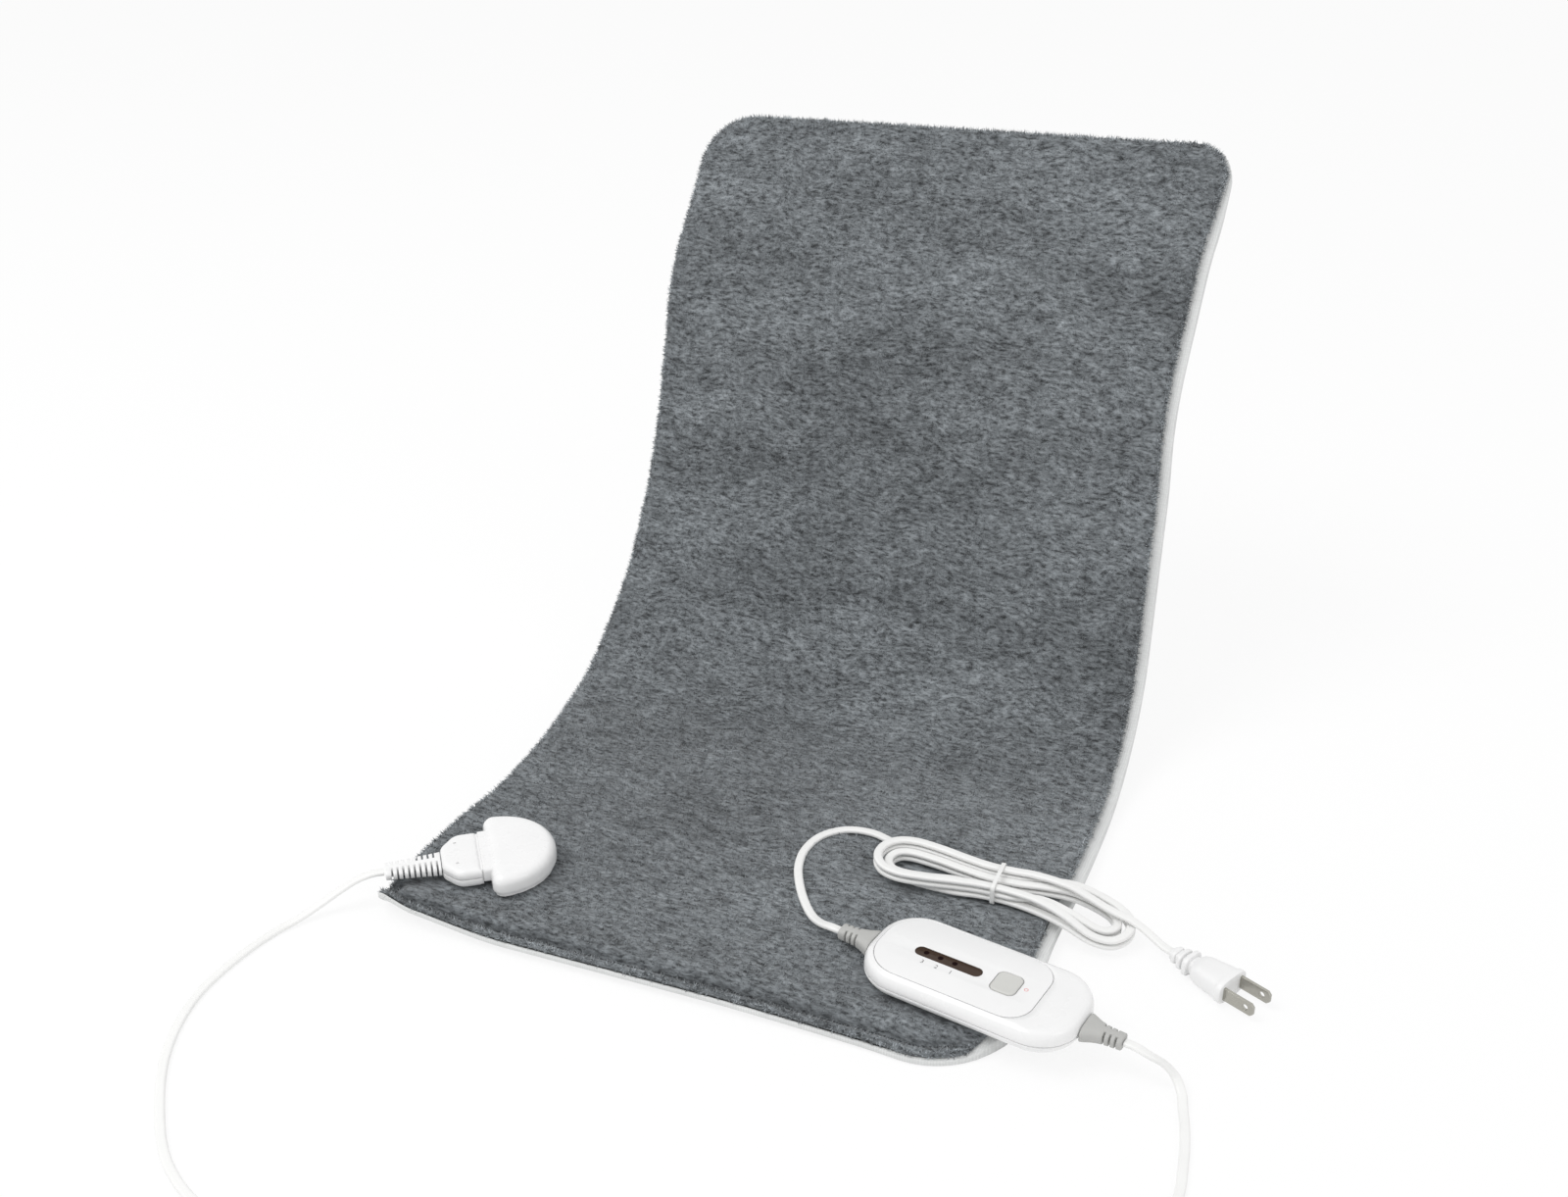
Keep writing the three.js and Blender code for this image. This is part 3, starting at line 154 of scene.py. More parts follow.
class SocketSettings(bpy.types.PropertyGroup):
    """Sizes of the pad's socket cap and of the connector that plugs into it."""

    x: size("Across", "The cap's front, from the pad's middle line", -0.113)
    y: size("Along", "The cap's front, from the pad's front edge", 0.048)
    turn: angle("Turn", "Turn of the socket on the pad", 35.5)
    depth: size("Depth", "Depth of the half-moon cap", 0.0335)
    half_width: size("Half width", "Half width of the cap", 0.028)
    corner: size("Corner", "Corner radius at the cap's front", 0.005)
    collar: size("Collar", "Length of the cap's collar", 0.0035)
    collar_half_width: size("Collar half width", "Half width of the collar", 0.0166)
    shell_half_width: size("Connector half width", "Half width of the connector", 0.0166)
    shell_length: size("Connector length", "Length of the connector's shells", 0.0187)
    chamfer_length: size("Chamfer length", "Length of the shells' rear chamfers", 0.007)
    chamfer_depth: size("Chamfer depth", "Depth of the shells' rear chamfers", 0.0086)
    parting: size("Parting", "Height of the line between the connector's shells", 0.0058)
    gap: size("Gap", "Clearance between shells", 0.0003)


class HandsetSettings(bpy.types.PropertyGroup):
    """Sizes of the handset's case and face."""

    x: size("Across", "The handset's middle, from the pad's middle line", 0.1371)
    y: size("Along", "The handset's middle, from the pad's front edge", 0.043)
    rest: size("Rest", "Height of the case's underside over the pad", 0.0004)
    turn: angle("Turn", "Turn of the handset on the pad", -11)
    length: size("Length", "Length of the case", 0.104)
    width: size("Width", "Width of the case", 0.05)
    height: size("Height", "Height of the case", 0.0135)
    corner: size("Corner", "Corner radius of the case", 0.02)
    parting: size("Parting", "Height of the line between the case's halves", 0.0063)
    plate_start: size("Face start", "Near end of the faceplate", -0.048)
    plate_end: size("Face end", "Far end of the faceplate", 0.031)
    plate_half_width: size("Face half width", "Half width of the faceplate", 0.021)
    plate_thickness: size("Face thickness", "Thickness of the faceplate", 0.00065)
    window_x: size("Window place", "Middle of the indicator window", -0.0143)
    window_length: size("Window length", "Length of the indicator window", 0.033)
    window_width: size("Window width", "Width of the indicator window", 0.0062)
    button_x: size("Button place", "Middle of the button", 0.0143)
    button_length: size("Button length", "Button size along the handset", 0.012)
    button_width: size("Button width", "Button size across the handset", 0.014)
    button_proud: size("Button proud", "How far the button stands above the face", 0.0005)


class LeadSettings(bpy.types.PropertyGroup):
    """Sizes of the flat twin cord and of its hank."""

    width: size("Cord width", "Width of the flat twin cord", 0.0044)
    thickness: size("Cord thickness", "Thickness of the flat twin cord", 0.0027)
    groove: share("Groove", "Depth of the groove between the cores", 0.2)
    hank_x: size("Hank across", "The hank's waist, from the pad's middle line", 0.1255)
    hank_y: size("Hank along", "The hank's waist, from the pad's front edge", 0.119)
    hank_base: size("Hank base", "Height of the lowest loop's middle", 0.01445)
    left_run: size("Left run", "From the waist to the left turns", 0.0465)
    right_run: size("Right run", "From the waist to the right turns", 0.05)
    droop: size("Droop", "How far the loops hang down past the pad's edge", 0.009)


class PlugSettings(bpy.types.PropertyGroup):
    """Place and blade sizes of the mains plug."""

    x: size("Across", "The plug's near end, from the pad's middle line", 0.212)
    y: size("Along", "The plug's near end, from the pad's front edge", 0.112)
    level: size("Level", "Height of the plug's axis", 0.0065)
    turn: angle("Turn", "Turn of the plug on the floor", -26.5)
    spacing: size("Blade spacing", "Between the blades' middles", 0.0127)
    blade_width: size("Blade width", "Width of a blade", 0.0063)
    blade_thickness: size("Blade thickness", "Thickness of a blade", 0.0015)
    blade_length: size("Blade length", "Length of a blade outside the body", 0.0159)


class FinishSettings(bpy.types.PropertyGroup):
    """Colours of the finishes."""

    plush: colour("Plush", "Grey plush", (0.162, 0.175, 0.185))
    band: colour("Back fabric", "Pale grey back and edge band", (0.74, 0.75, 0.745))
    felt: colour("Felt", "Inner felt layers", (0.79, 0.77, 0.72))
    white: colour("White", "Gloss white mouldings", (0.87, 0.87, 0.87))
    cord: colour("Cord", "White cord jacket", (0.88, 0.88, 0.87))
    relief: colour("Relief", "Warm grey strain reliefs", (0.47, 0.47, 0.455))
    button: colour("Button", "Pale grey button", (0.62, 0.62, 0.595))
    window: colour("Window", "Dark brown indicator window", (0.048, 0.028, 0.018))
    lamp: colour("Lamp", "Unlit lamps under the window", (0.01, 0.003, 0.003))
    clear: colour("Clear", "Clear bodies of the board's lamps", (0.62, 0.64, 0.6))
    printing: colour("Printing", "Grey numbers on the face", (0.16, 0.16, 0.16))
    mark: colour("Mark", "Small red ring by the button", (0.78, 0.33, 0.33))
    metal: colour("Metal", "Nickel-plated blades and contacts", (0.42, 0.41, 0.37))
    steel: colour("Steel", "Steel of the case screws", (0.5, 0.5, 0.48))
    board: colour("Board", "Green circuit board", (0.028, 0.147, 0.058))
    black: colour("Black", "Black component bodies", (0.018, 0.018, 0.018))
    wire: colour("Wire", "Heating wire and film capacitor", (0.46, 0.085, 0.07))
    # The front seam's thread is dark as thread and also as painted shade along the groove it lies in
    thread: colour("Thread", "Dark seam thread", (0.06, 0.066, 0.072))


class StageSettings(bpy.types.PropertyGroup):
    """Camera, lamps and floor."""

    azimuth: angle("Azimuth", "Camera's turn round the pad", 21.5)
    elevation: angle("Elevation", "Camera's height above the horizon", 28)
    distance: size("Distance", "From the camera to its target", 0.876)
    target: bpy.props.FloatVectorProperty(
        name="Target", description="What the camera looks at, from the pad's origin",
        default=(0.008, 0.137, 0.1405), subtype="XYZ", unit="LENGTH",
    )
    focal_pixels: amount("Focal length", "Focal length in pixels of the picture's width", 1873)
    picture_width: amount("Picture width", "Width of the picture in pixels", 1600)
    sensor: amount("Sensor", "Sensor width in millimetres", 36)
    world: amount("World", "Strength of the light from all round", 0.74)
    key: amount("Key", "Power of the large lamp in watts", 15)
    fill: amount("Fill", "Power of the small lamp in watts", 2.5)


GROUPS = {
    "pad": PadSettings, "socket": SocketSettings, "handset": HandsetSettings, "leads": LeadSettings,
    "plug": PlugSettings, "finish": FinishSettings, "stage": StageSettings,
}


def settings(name):
    return getattr(bpy.context.scene, "heating_" + name)


# Frames and numbers


def smooth(value):
    """An even ease from 0 to 1, held at both ends."""
    held = np.clip(value, 0, 1)
    return held * held * (3 - 2 * held)


def ramp(value, start, length):
    """0 up to a start, 1 beyond its length, and an even ease between."""
    return smooth((value - start) / length)


def on_floor(points):
    """Points from the pad's origin, as points in the shared frame."""
    return np.asarray(points, float) + np.array(PAD_ORIGIN)


def lattice_noise(x, y, cell, seed):
    """Smooth noise between -1 and 1 over a surface, with one random value to each cell corner."""
    table = np.random.default_rng(seed).uniform(-1, 1, (64, 64))
    u, v = np.asarray(x) / cell, np.asarray(y) / cell
    i, j = np.floor(u).astype(int), np.floor(v).astype(int)
    a, b = smooth(u - i), smooth(v - j)
    at = lambda di, dj: table[(i + di) % 64, (j + dj) % 64]
    low = at(0, 0) * (1 - a) + at(1, 0) * a
    high = at(0, 1) * (1 - a) + at(1, 1) * a
    return low * (1 - b) + high * b


def through(points, spacing):
    """A smooth line through points, with stations at an even spacing."""
    points = np.asarray(points, float)
    ends = np.vstack([2 * points[0] - points[1], points, 2 * points[-1] - points[-2]])
    fine = []
    for p0, p1, p2, p3 in zip(ends[:-3], ends[1:-2], ends[2:-1], ends[3:]):
        gaps = [max(np.linalg.norm(b - a), 1e-9) ** 0.5 for a, b in ((p0, p1), (p1, p2), (p2, p3))]
        knots = np.cumsum([0] + gaps)
        for t in np.linspace(knots[1], knots[2], 12, endpoint=False):
            mix = lambda a, b, i, j: ((knots[j] - t) * a + (t - knots[i]) * b) / (knots[j] - knots[i])
            a1, a2, a3 = mix(p0, p1, 0, 1), mix(p1, p2, 1, 2), mix(p2, p3, 2, 3)
            fine.append(mix(mix(a1, a2, 0, 2), mix(a2, a3, 1, 3), 1, 2))
    fine = np.vstack([fine, points[-1]])
    run = np.concatenate([[0], np.cumsum(np.linalg.norm(np.diff(fine, axis=0), axis=1))])
    stations = np.linspace(0, run[-1], max(int(run[-1] / spacing), 2))
    return np.column_stack([np.interp(stations, run, fine[:, k]) for k in range(fine.shape[1])])


def ridge(value, middle, width):
    """1 at the middle, fading to both sides."""
    return np.exp(-((value - middle) / width) ** 2)


def ease_in(count):
    """Shares from 0 to 1 that start close together."""
    return 1 - np.cos(np.linspace(0, math.pi / 2, count))


def millimetres(rows):
    """Rows given in millimetres, in metres."""
    return [tuple(v * MM for v in row) for row in rows]


# Meshes


def linked(name, data):
    """A new object of some data, in the scene."""
    made = bpy.data.objects.new(name, data)
    bpy.context.scene.collection.objects.link(made)
    return made


def shaded(name, mesh, sharp):
    """A piece of a mesh, smooth except at edges sharper than an angle in degrees."""
    mesh.shade_smooth()
    mesh.set_sharp_from_angle(angle=math.radians(sharp))
    mesh.name = name
    return linked(name, mesh)


def taken(piece):
    """The mesh that a piece shows with its modifiers applied; the piece itself is removed."""
    evaluated = piece.evaluated_get(bpy.context.evaluated_depsgraph_get())
    mesh = bpy.data.meshes.new_from_object(evaluated)
    bpy.data.objects.remove(piece)
    return mesh


def new_object(name, vertices, faces, sharp=40):
    """A shown mesh with its place in its vertices, smooth except at edges sharper than an angle."""
    mesh = bpy.data.meshes.new(name)
    mesh.from_pydata([tuple(v) for v in np.asarray(vertices, float)], [], [tuple(f) for f in faces])
    return show_mesh(name, mesh, sharp)


def show_mesh(name, mesh, sharp=40, weld=1e-6):
    """A piece of a mesh that is first welded, with its faces turned outwards."""
    work = bmesh.new()
    work.from_mesh(mesh)
    bmesh.ops.remove_doubles(work, verts=work.verts, dist=weld)
    bmesh.ops.dissolve_degenerate(work, edges=work.edges, dist=weld / 10)
    bmesh.ops.recalc_face_normals(work, faces=work.faces)
    work.to_mesh(mesh)
    work.free()
    return shaded(name, mesh, sharp)


def loft_faces(levels, count, capped=True):
    """Faces that join rings of equal count; an end ring is filled by strips between mirrored points."""
    faces = []
    for level in range(levels - 1):
        for i in range(count):
            a, b = level * count + i, level * count + (i + 1) % count
            faces.append((a, b, b + count, a + count))
    if capped:
        last = (levels - 1) * count
        for i in range(count // 2 - 1):
            mirror = count - 1 - i
            faces.append((last + i, last + i + 1, last + mirror - 1, last + mirror))
            faces.append((mirror, mirror - 1, i + 1, i))
    return faces


def lofted(name, rings, sharp=40, capped=True):
    return new_object(name, np.vstack(rings), loft_faces(len(rings), len(rings[0]), capped), sharp)


def baked(piece, sharp=40):
    """The piece with its modifiers applied, as a plain mesh under the same name."""
    name = piece.name
    return show_mesh(name, taken(piece), sharp, weld=1e-7)


def cut(piece, cutter, sharp=40):
    """The piece less the cutter, which is removed."""
    modifier = piece.modifiers.new("cut", "BOOLEAN")
    modifier.operation = "DIFFERENCE"
    modifier.solver = "EXACT"
    modifier.object = cutter
    made = baked(piece, sharp)
    bpy.data.objects.remove(cutter)
    return made


def softened(piece, width, segments=2, sharp=50):
    """The piece with its sharp edges rounded by a small bevel."""
    modifier = piece.modifiers.new("edges", "BEVEL")
    modifier.width = width
    modifier.segments = segments
    modifier.limit_method = "ANGLE"
    modifier.angle_limit = math.radians(35)
    modifier.use_clamp_overlap = True
    return baked(piece, sharp)


BOX_FACES = ((0, 1, 3, 2), (4, 6, 7, 5), (0, 4, 5, 1), (2, 3, 7, 6), (0, 2, 6, 4), (1, 5, 7, 3))


def box_mesh(name, spans):
    """Boxes, each given as (x low, x high, y low, y high, z low, z high), in one mesh."""
    vertices, faces = [], []
    for x0, x1, y0, y1, z0, z1 in spans:
        first = len(vertices)
        vertices += [(x, y, z) for x in (x0, x1) for y in (y0, y1) for z in (z0, z1)]
        faces += [tuple(first + i for i in face) for face in BOX_FACES]
    return new_object(name, vertices, faces)


def rod_mesh(name, centres, radius, low, high, sides=24):
    """Upright rods at the centres, in one mesh."""
    vertices, faces = [], []
    for x, y in centres:
        first = len(vertices)
        for z in (low, high):
            for i in range(sides):
                turn = 2 * math.pi * i / sides
                vertices.append((x + radius * math.cos(turn), y + radius * math.sin(turn), z))
        faces += [
            (first + i, first + (i + 1) % sides, first + sides + (i + 1) % sides, first + sides + i)
            for i in range(sides)
        ]
        faces.append(tuple(first + i for i in reversed(range(sides))))
        faces.append(tuple(first + sides + i for i in range(sides)))
    return new_object(name, vertices, faces)


def moved(piece, matrix):
    piece.data.transform(matrix)
    return piece


def flat_piece(name, outlines, low, high, edge):
    """A plate with softly rounded edges between two heights; outlines after the first are holes."""
    outline = bpy.data.curves.new(name, "CURVE")
    outline.dimensions = "2D"
    outline.fill_mode = "BOTH"
    outline.extrude = max((high - low) / 2 - edge, 0)
    outline.bevel_depth = edge
    outline.bevel_resolution = 2
    for ring in outlines:
        spline = outline.splines.new("POLY")
        spline.points.add(len(ring) - 1)
        for point, (x, y) in zip(spline.points, ring):
            point.co = (x, y, 0, 1)
        spline.use_cyclic_u = True
    mesh = taken(linked(name, outline))
    mesh.transform(Matrix.Translation((0, 0, (low + high) / 2)))
    return show_mesh(name, mesh)


# Outlines: each is a function of an inset, in mirrored pairs about the X axis


def mirrored(upper):
    """A whole outline from its upper half."""
    return np.array([(x, y) for x, y in upper] + [(x, -y) for x, y in reversed(upper)])


def circle(x, y, radius, sides, way=1):
    """Points round a place, the other way round where the way is -1."""
    turns = way * np.linspace(0, 2 * math.pi, sides + 1)[:-1]
    return np.column_stack([x + radius * np.cos(turns), y + radius * np.sin(turns)])


def rounded_ring(x_low, x_high, half_width, corner, steps, far_corner=None):
    """A rectangle with round corners; the corners at its high end can have a radius of their own."""
    far_corner = corner if far_corner is None else far_corner

    def ring(inset):
        upper = []
        for end, full, start in ((x_high, far_corner, 0), (x_low, corner, math.pi / 2)):
            radius = max(full - inset, 0.0003)
            reach = end - math.copysign(inset + radius, end - (x_low + x_high) / 2)
            for i in range(steps + 1):
                turn = start + math.pi / 2 * i / steps
                side = half_width - inset - radius
                upper.append((reach + radius * math.cos(turn), side + radius * math.sin(turn)))
        return mirrored(upper)

    return ring


def filleted_ring(corners, steps):
    """An outline from the corners of its upper half, each as (x, y, radius)."""

    def ring(inset):
        points = [np.array((x, max(y - inset, 0.0001))) for x, y, _ in corners]
        middle = (corners[0][0] + corners[-1][0]) / 2
        points = [np.array((p[0] - math.copysign(inset, p[0] - middle), p[1])) for p in points]
        chain = [points[0] * (1, -1)] + points + [points[-1] * (1, -1)]
        upper = []
        for before, here, after, (_, _, radius) in zip(chain[:-2], chain[1:-1], chain[2:], corners):
            to_before, to_after = before - here, after - here
            reach = min(radius, 0.45 * np.linalg.norm(to_before), 0.45 * np.linalg.norm(to_after))
            start = here + to_before / np.linalg.norm(to_before) * reach
            end = here + to_after / np.linalg.norm(to_after) * reach
            for t in np.linspace(0, 1, steps):
                upper.append((1 - t) ** 2 * start + 2 * t * (1 - t) * here + t * t * end)
        return mirrored(upper)

    return ring


def level_ring(points, height):
    """An outline laid flat at a height."""
    return np.column_stack([points, np.full(len(points), height)])


def upright_ring(points, x):
    """An outline stood up across the X axis, its own X upwards."""
    return np.column_stack([np.full(len(points), x), points[:, 1], points[:, 0]])


def skin_rings(ring, profile):
    """Rings of an outline at (inset, height) pairs."""
    return [level_ring(ring(inset), height) for inset, height in profile]


def eased(profile, spacing=0.4 * MM):
    """A profile with a smooth line through its (inset, height) points."""
    return [tuple(p) for p in through(profile, spacing)]


def oval_ring(x, half_width, half_height, squareness, sides=32):
    """An upright oval; a higher squareness fills its corners."""
    turns = (2 * np.arange(sides) + 1) * math.pi / sides
    power = 2 / squareness
    y = np.sign(np.cos(turns)) * half_width * np.abs(np.cos(turns)) ** power
    z = np.sign(np.sin(turns)) * half_height * np.abs(np.sin(turns)) ** power
    return np.column_stack([np.full(sides, x), y, z])


def oval_loft(name, sections, squareness, sharp):
    """A body through ovals, each given in millimetres as (place, half width, half height)."""
    return lofted(name, [oval_ring(*section, squareness) for section in millimetres(sections)], sharp)


# Finishes. Patterns read Object coordinates, in metres


class Tree:
    """A short way to add nodes to a tree and join them."""

    def __init__(self, tree):
        self.tree = tree

    def join(self, value, socket):
        """Links an output to a socket, or sets a constant on it."""
        if isinstance(value, bpy.types.NodeSocket):
            self.tree.links.new(value, socket)
        else:
            socket.default_value = value

    def node(self, kind, inputs=None, **values):
        made = self.tree.nodes.new(kind)
        for key, value in values.items():
            setattr(made, key, value)
        for key, value in (inputs or {}).items():
            self.join(value, made.inputs[key])
        return made

    def math(self, operation, a, b=0.0):
        return self.node("ShaderNodeMath", {0: a, 1: b}, operation=operation).outputs[0]

    def product(self, first, *factors):
        """A value times each of the factors in turn."""
        for factor in factors:
            first = self.math("MULTIPLY", first, factor)
        return first


class Shader(Tree):
    """A shader tree, with its most used nodes by name."""

    def noise(self, place, scale, detail=3.0, roughness=0.55):
        inputs = {"Vector": place, "Scale": scale, "Detail": detail, "Roughness": roughness}
        return self.node("ShaderNodeTexNoise", inputs).outputs["Fac"]

    def swirl(self, place, scale, detail):
        """A noise in three channels, to bend a pattern's places."""
        inputs = {"Vector": place, "Scale": scale, "Detail": detail}
        return self.node("ShaderNodeTexNoise", inputs).outputs["Color"]

    def weighted(self, *pairs):
        """The sum of values, each times its weight."""
        parts = [self.product(value, weight) for value, weight in pairs]
        total = parts[0]
        for part in parts[1:]:
            total = self.math("ADD", total, part)
        return total

    def less(self, mask, weight):
        """A factor that is lowered where a mask is set."""
        return self.math("SUBTRACT", 1.0, self.product(mask, weight))

    def span(self, value, low, high, to_low=0.0, to_high=1.0):
        inputs = {"Value": value, "From Min": low, "From Max": high, "To Min": to_low, "To Max": to_high}
        return self.node("ShaderNodeMapRange", inputs, clamp=True).outputs["Result"]

    def mix(self, share, a, b, blend="MIX"):
        made = self.node("ShaderNodeMix", data_type="RGBA", blend_type=blend)
        for socket, value in zip([made.inputs[0], made.inputs[6], made.inputs[7]], (share, a, b)):
            self.join(value, socket)
        return made.outputs[2]

    def mapped(self, place, scale=(1, 1, 1), turn=(0, 0, 0)):
        inputs = {"Vector": place, "Scale": scale, "Rotation": turn}
        return self.node("ShaderNodeMapping", inputs).outputs["Vector"]


FLOAT = "NodeSocketFloat"
COLOUR = "NodeSocketColor"


def effect_group(name, inputs, outputs, build):
    """A shader node group with named sockets, built once and shared by the finishes."""
    if name in bpy.data.node_groups:
        return bpy.data.node_groups[name]
    group = bpy.data.node_groups.new(name, "ShaderNodeTree")
    for label, kind, default in inputs:
        socket = group.interface.new_socket(label, in_out="INPUT", socket_type=kind)
        socket.default_value = default
    for label, kind in outputs:
        group.interface.new_socket(label, in_out="OUTPUT", socket_type=kind)
    shader = Shader(group)
    given = shader.node("NodeGroupInput")
    result = shader.node("NodeGroupOutput")
    place = shader.node("ShaderNodeTexCoord").outputs["Object"]
    for label, value in build(shader, given.outputs, place).items():
        group.links.new(value, result.inputs[label])
    return group


def times(tint, factor):
    """A colour made lighter or darker."""
    return tuple(factor * c for c in tint)


def shade(shader, tint, factor):
    """A colour times a factor that varies over the surface."""
    grey = shader.node("ShaderNodeCombineColor", dict.fromkeys(("Red", "Green", "Blue"), factor))
    return shader.mix(1.0, tint, grey.outputs[0], "MULTIPLY")


def moulding_effect():
    """Faint clouding, fine grain and handling marks of a moulded plastic."""

    def build(shader, given, place):
        cloud = shader.noise(place, given["Cloud Scale"], 2.0)
        grain = shader.noise(place, given["Grain Scale"], 2.0, 0.6)
        marks = shader.noise(place, 85.0, 3.0, 0.5)
        factor = shader.span(cloud, 0.3, 0.7, 0.985, 1.005)
        spread = shader.product(shader.span(marks, 0.35, 0.75), given["Marks"])
        return {
            "Colour": shade(shader, given["Colour"], factor),
            "Roughness": shader.math("ADD", given["Roughness"], spread),
            "Height": shader.weighted((grain, 0.6), (cloud, 0.4)),
        }

    return effect_group(
        "Moulding", [
            ("Colour", COLOUR, (0.8, 0.8, 0.8, 1)), ("Roughness", FLOAT, 0.35), ("Marks", FLOAT, 0.12),
            ("Cloud Scale", FLOAT, 60.0), ("Grain Scale", FLOAT, 2600.0),
        ],
        [("Colour", COLOUR), ("Roughness", FLOAT), ("Height", FLOAT)], build,
    )


def weave_effect():
    """Crossed threads with slubs, painted shade where the threads lie low, and soft clouding, of a woven or
    knitted cloth.
    """

    def build(shader, given, place):
        turned_place = shader.mapped(place, turn=(0, 0, math.radians(3)))
        bent = shader.mix(0.0016, turned_place, shader.swirl(place, 90.0, 2.0), "ADD")
        thread = {"Vector": bent, "Scale": given["Threads"], "Distortion": 0.6, "Detail": 1.0}
        across, down, along = (
            shader.node("ShaderNodeTexWave", thread, bands_direction=axis).outputs["Fac"] for axis in "XZY"
        )
        lay = shader.product(across, shader.math("ADD", down, along), 0.5)
        fuzz = shader.noise(place, 1500.0, 3.0, 0.7)
        cloud = shader.noise(place, 18.0, 3.0)
        height = shader.weighted((lay, 0.65), (fuzz, 0.35))
        # Painted shade where the threads lie low, lighter where they stand high, times a soft clouding
        factor = shader.product(
            shader.span(height, 0.1, 0.7, 0.9, 1.04), shader.span(cloud, 0.3, 0.7, 0.95, 1.03))
        return {"Colour": shade(shader, given["Colour"], factor), "Height": height}

    return effect_group(
        "Weave", [("Colour", COLOUR, (0.7, 0.7, 0.7, 1)), ("Threads", FLOAT, 260.0)],
        [("Colour", COLOUR), ("Height", FLOAT)], build,
    )


def pile_effect():
    """Brushed plush: broad patches of painted sheen; clumps, fibres and fibre tips painted lighter where
    they stand high, with painted shade in short parting lines and in flecks between the fibres; and sparse
    dimples with painted shade in them and a painted highlight round them.
    """

    def build(shader, given, place):
        bent = shader.mix(0.012, place, shader.swirl(place, 28.0, 3.0), "ADD")
        # Broad patches of painted sheen, lighter and darker over the plush
        sheen_patches = shader.noise(shader.mapped(bent, (0.45, 1, 1)), 24.0, 3.0, 0.6)
        clumps = shader.noise(shader.mapped(bent, (0.55, 1, 1)), 190.0, 3.0, 0.65)
        fibres = shader.noise(shader.mapped(bent, (0.38, 1, 1)), given["Fibre Scale"], 2.0, 0.55)
        tips = shader.noise(shader.mapped(bent, (0.5, 1, 1)), 1900.0, 2.0, 0.8)
        # Painted shade in the parting lines, where the clumps lie low
        parting_shade = shader.span(clumps, 0.5, 0.27)
        # Sparse dimples: a real dent in the height, with painted shade in each dimple
        cells = shader.node("ShaderNodeTexVoronoi", {"Vector": bent, "Scale": 26.0, "Randomness": 1.0})
        reds = shader.node("ShaderNodeSeparateColor", {"Color": cells.outputs["Color"]}).outputs["Red"]
        picked = shader.math("GREATER_THAN", reds, 0.4)
        pit_depth_and_shade = shader.product(picked, shader.span(cells.outputs["Distance"], 0.06, 0.025))
        # A painted highlight in a ring round each dimple
        rings = shader.product(picked, shader.span(cells.outputs["Distance"], 0.2, 0.06))
        # Painted shade in flecks between the fibres, where they lie low
        speck_shade = shader.span(fibres, 0.41, 0.3)
        # Painted light and shade over the plush: the sheen patches, the relief painted lighter where
        # fibres, clumps and tips stand high, and the dimples
        factor = shader.product(
            shader.span(sheen_patches, 0.3, 0.7, 0.78, 1.24),
            shader.span(fibres, 0.33, 0.67, 0.55, 1.5), shader.less(speck_shade, 0.4),
            shader.span(clumps, 0.3, 0.7, 0.84, 1.18), shader.less(parting_shade, 0.25),
            shader.math("ADD", 1.0, shader.product(rings, 0.22)), shader.less(pit_depth_and_shade, 0.5),
            shader.span(tips, 0.35, 0.75, 0.88, 1.2),
        )
        raised = shader.weighted((fibres, 0.55), (tips, 0.25), (clumps, 0.6))
        height = shader.math("SUBTRACT", raised, shader.product(pit_depth_and_shade, 0.4))
        return {"Colour": shade(shader, given["Colour"], factor), "Height": height}

    return effect_group(
        "Pile", [("Colour", COLOUR, (0.16, 0.17, 0.18, 1)), ("Fibre Scale", FLOAT, 620.0)],
        [("Colour", COLOUR), ("Height", FLOAT)], build,
    )


def new_material(name):
    material = bpy.data.materials.new(name)
    material.use_nodes = True
    shader = Shader(material.node_tree)
    return material, shader, material.node_tree.nodes["Principled BSDF"]


def bumped(shader, surface, height, strength, depth):
    """Joins a height to a surface as a bump."""
    bump = shader.node("ShaderNodeBump", {"Height": height, "Strength": strength, "Distance": depth})
    shader.tree.links.new(bump.outputs["Normal"], surface.inputs["Normal"])


def finished(name, effect, given, values, strength, depth):
    """A material whose colour and relief come from an effect, with values of its surface."""
    material, shader, surface = new_material(name)
    made = shader.node("ShaderNodeGroup", given, node_tree=effect)
    for output, socket in (("Colour", "Base Color"), ("Roughness", "Roughness")):
        if output in made.outputs:
            shader.tree.links.new(made.outputs[output], surface.inputs[socket])
    for socket, value in values.items():
        surface.inputs[socket].default_value = value
    bumped(shader, surface, made.outputs["Height"], strength, depth)
    return material


def moulded(
    name, tint, roughness=0.35, marks=0.12, grain=0.25, coat=0.0, metallic=0.0, cloud=60.0, specular=0.5,
):
    """A moulded plastic, or a plated metal where metallic is 1."""
    given = {"Colour": (*tint, 1), "Roughness": roughness, "Marks": marks, "Cloud Scale": cloud}
    values = {"Metallic": metallic, "Coat Weight": coat, "Specular IOR Level": specular}
    return finished(name, moulding_effect(), given, values, grain, 0.00006)


def woven(name, tint, threads=260.0, sheen=0.15):
    """A woven or felted cloth, or a thread."""
    given = {"Colour": (*tint, 1), "Threads": threads}
    return finished(name, weave_effect(), given, {"Roughness": 0.9, "Sheen Weight": sheen}, 0.5, 0.0003)


def plush(name, tint, bump=0.8):
    """A brushed plush, or its tufts with a low bump."""
    values = {"Roughness": 0.95, "Sheen Weight": 0.3, "Sheen Roughness": 0.5, "Specular IOR Level": 0.15}
    return finished(name, pile_effect(), {"Colour": (*tint, 1)}, values, bump, 0.0012)


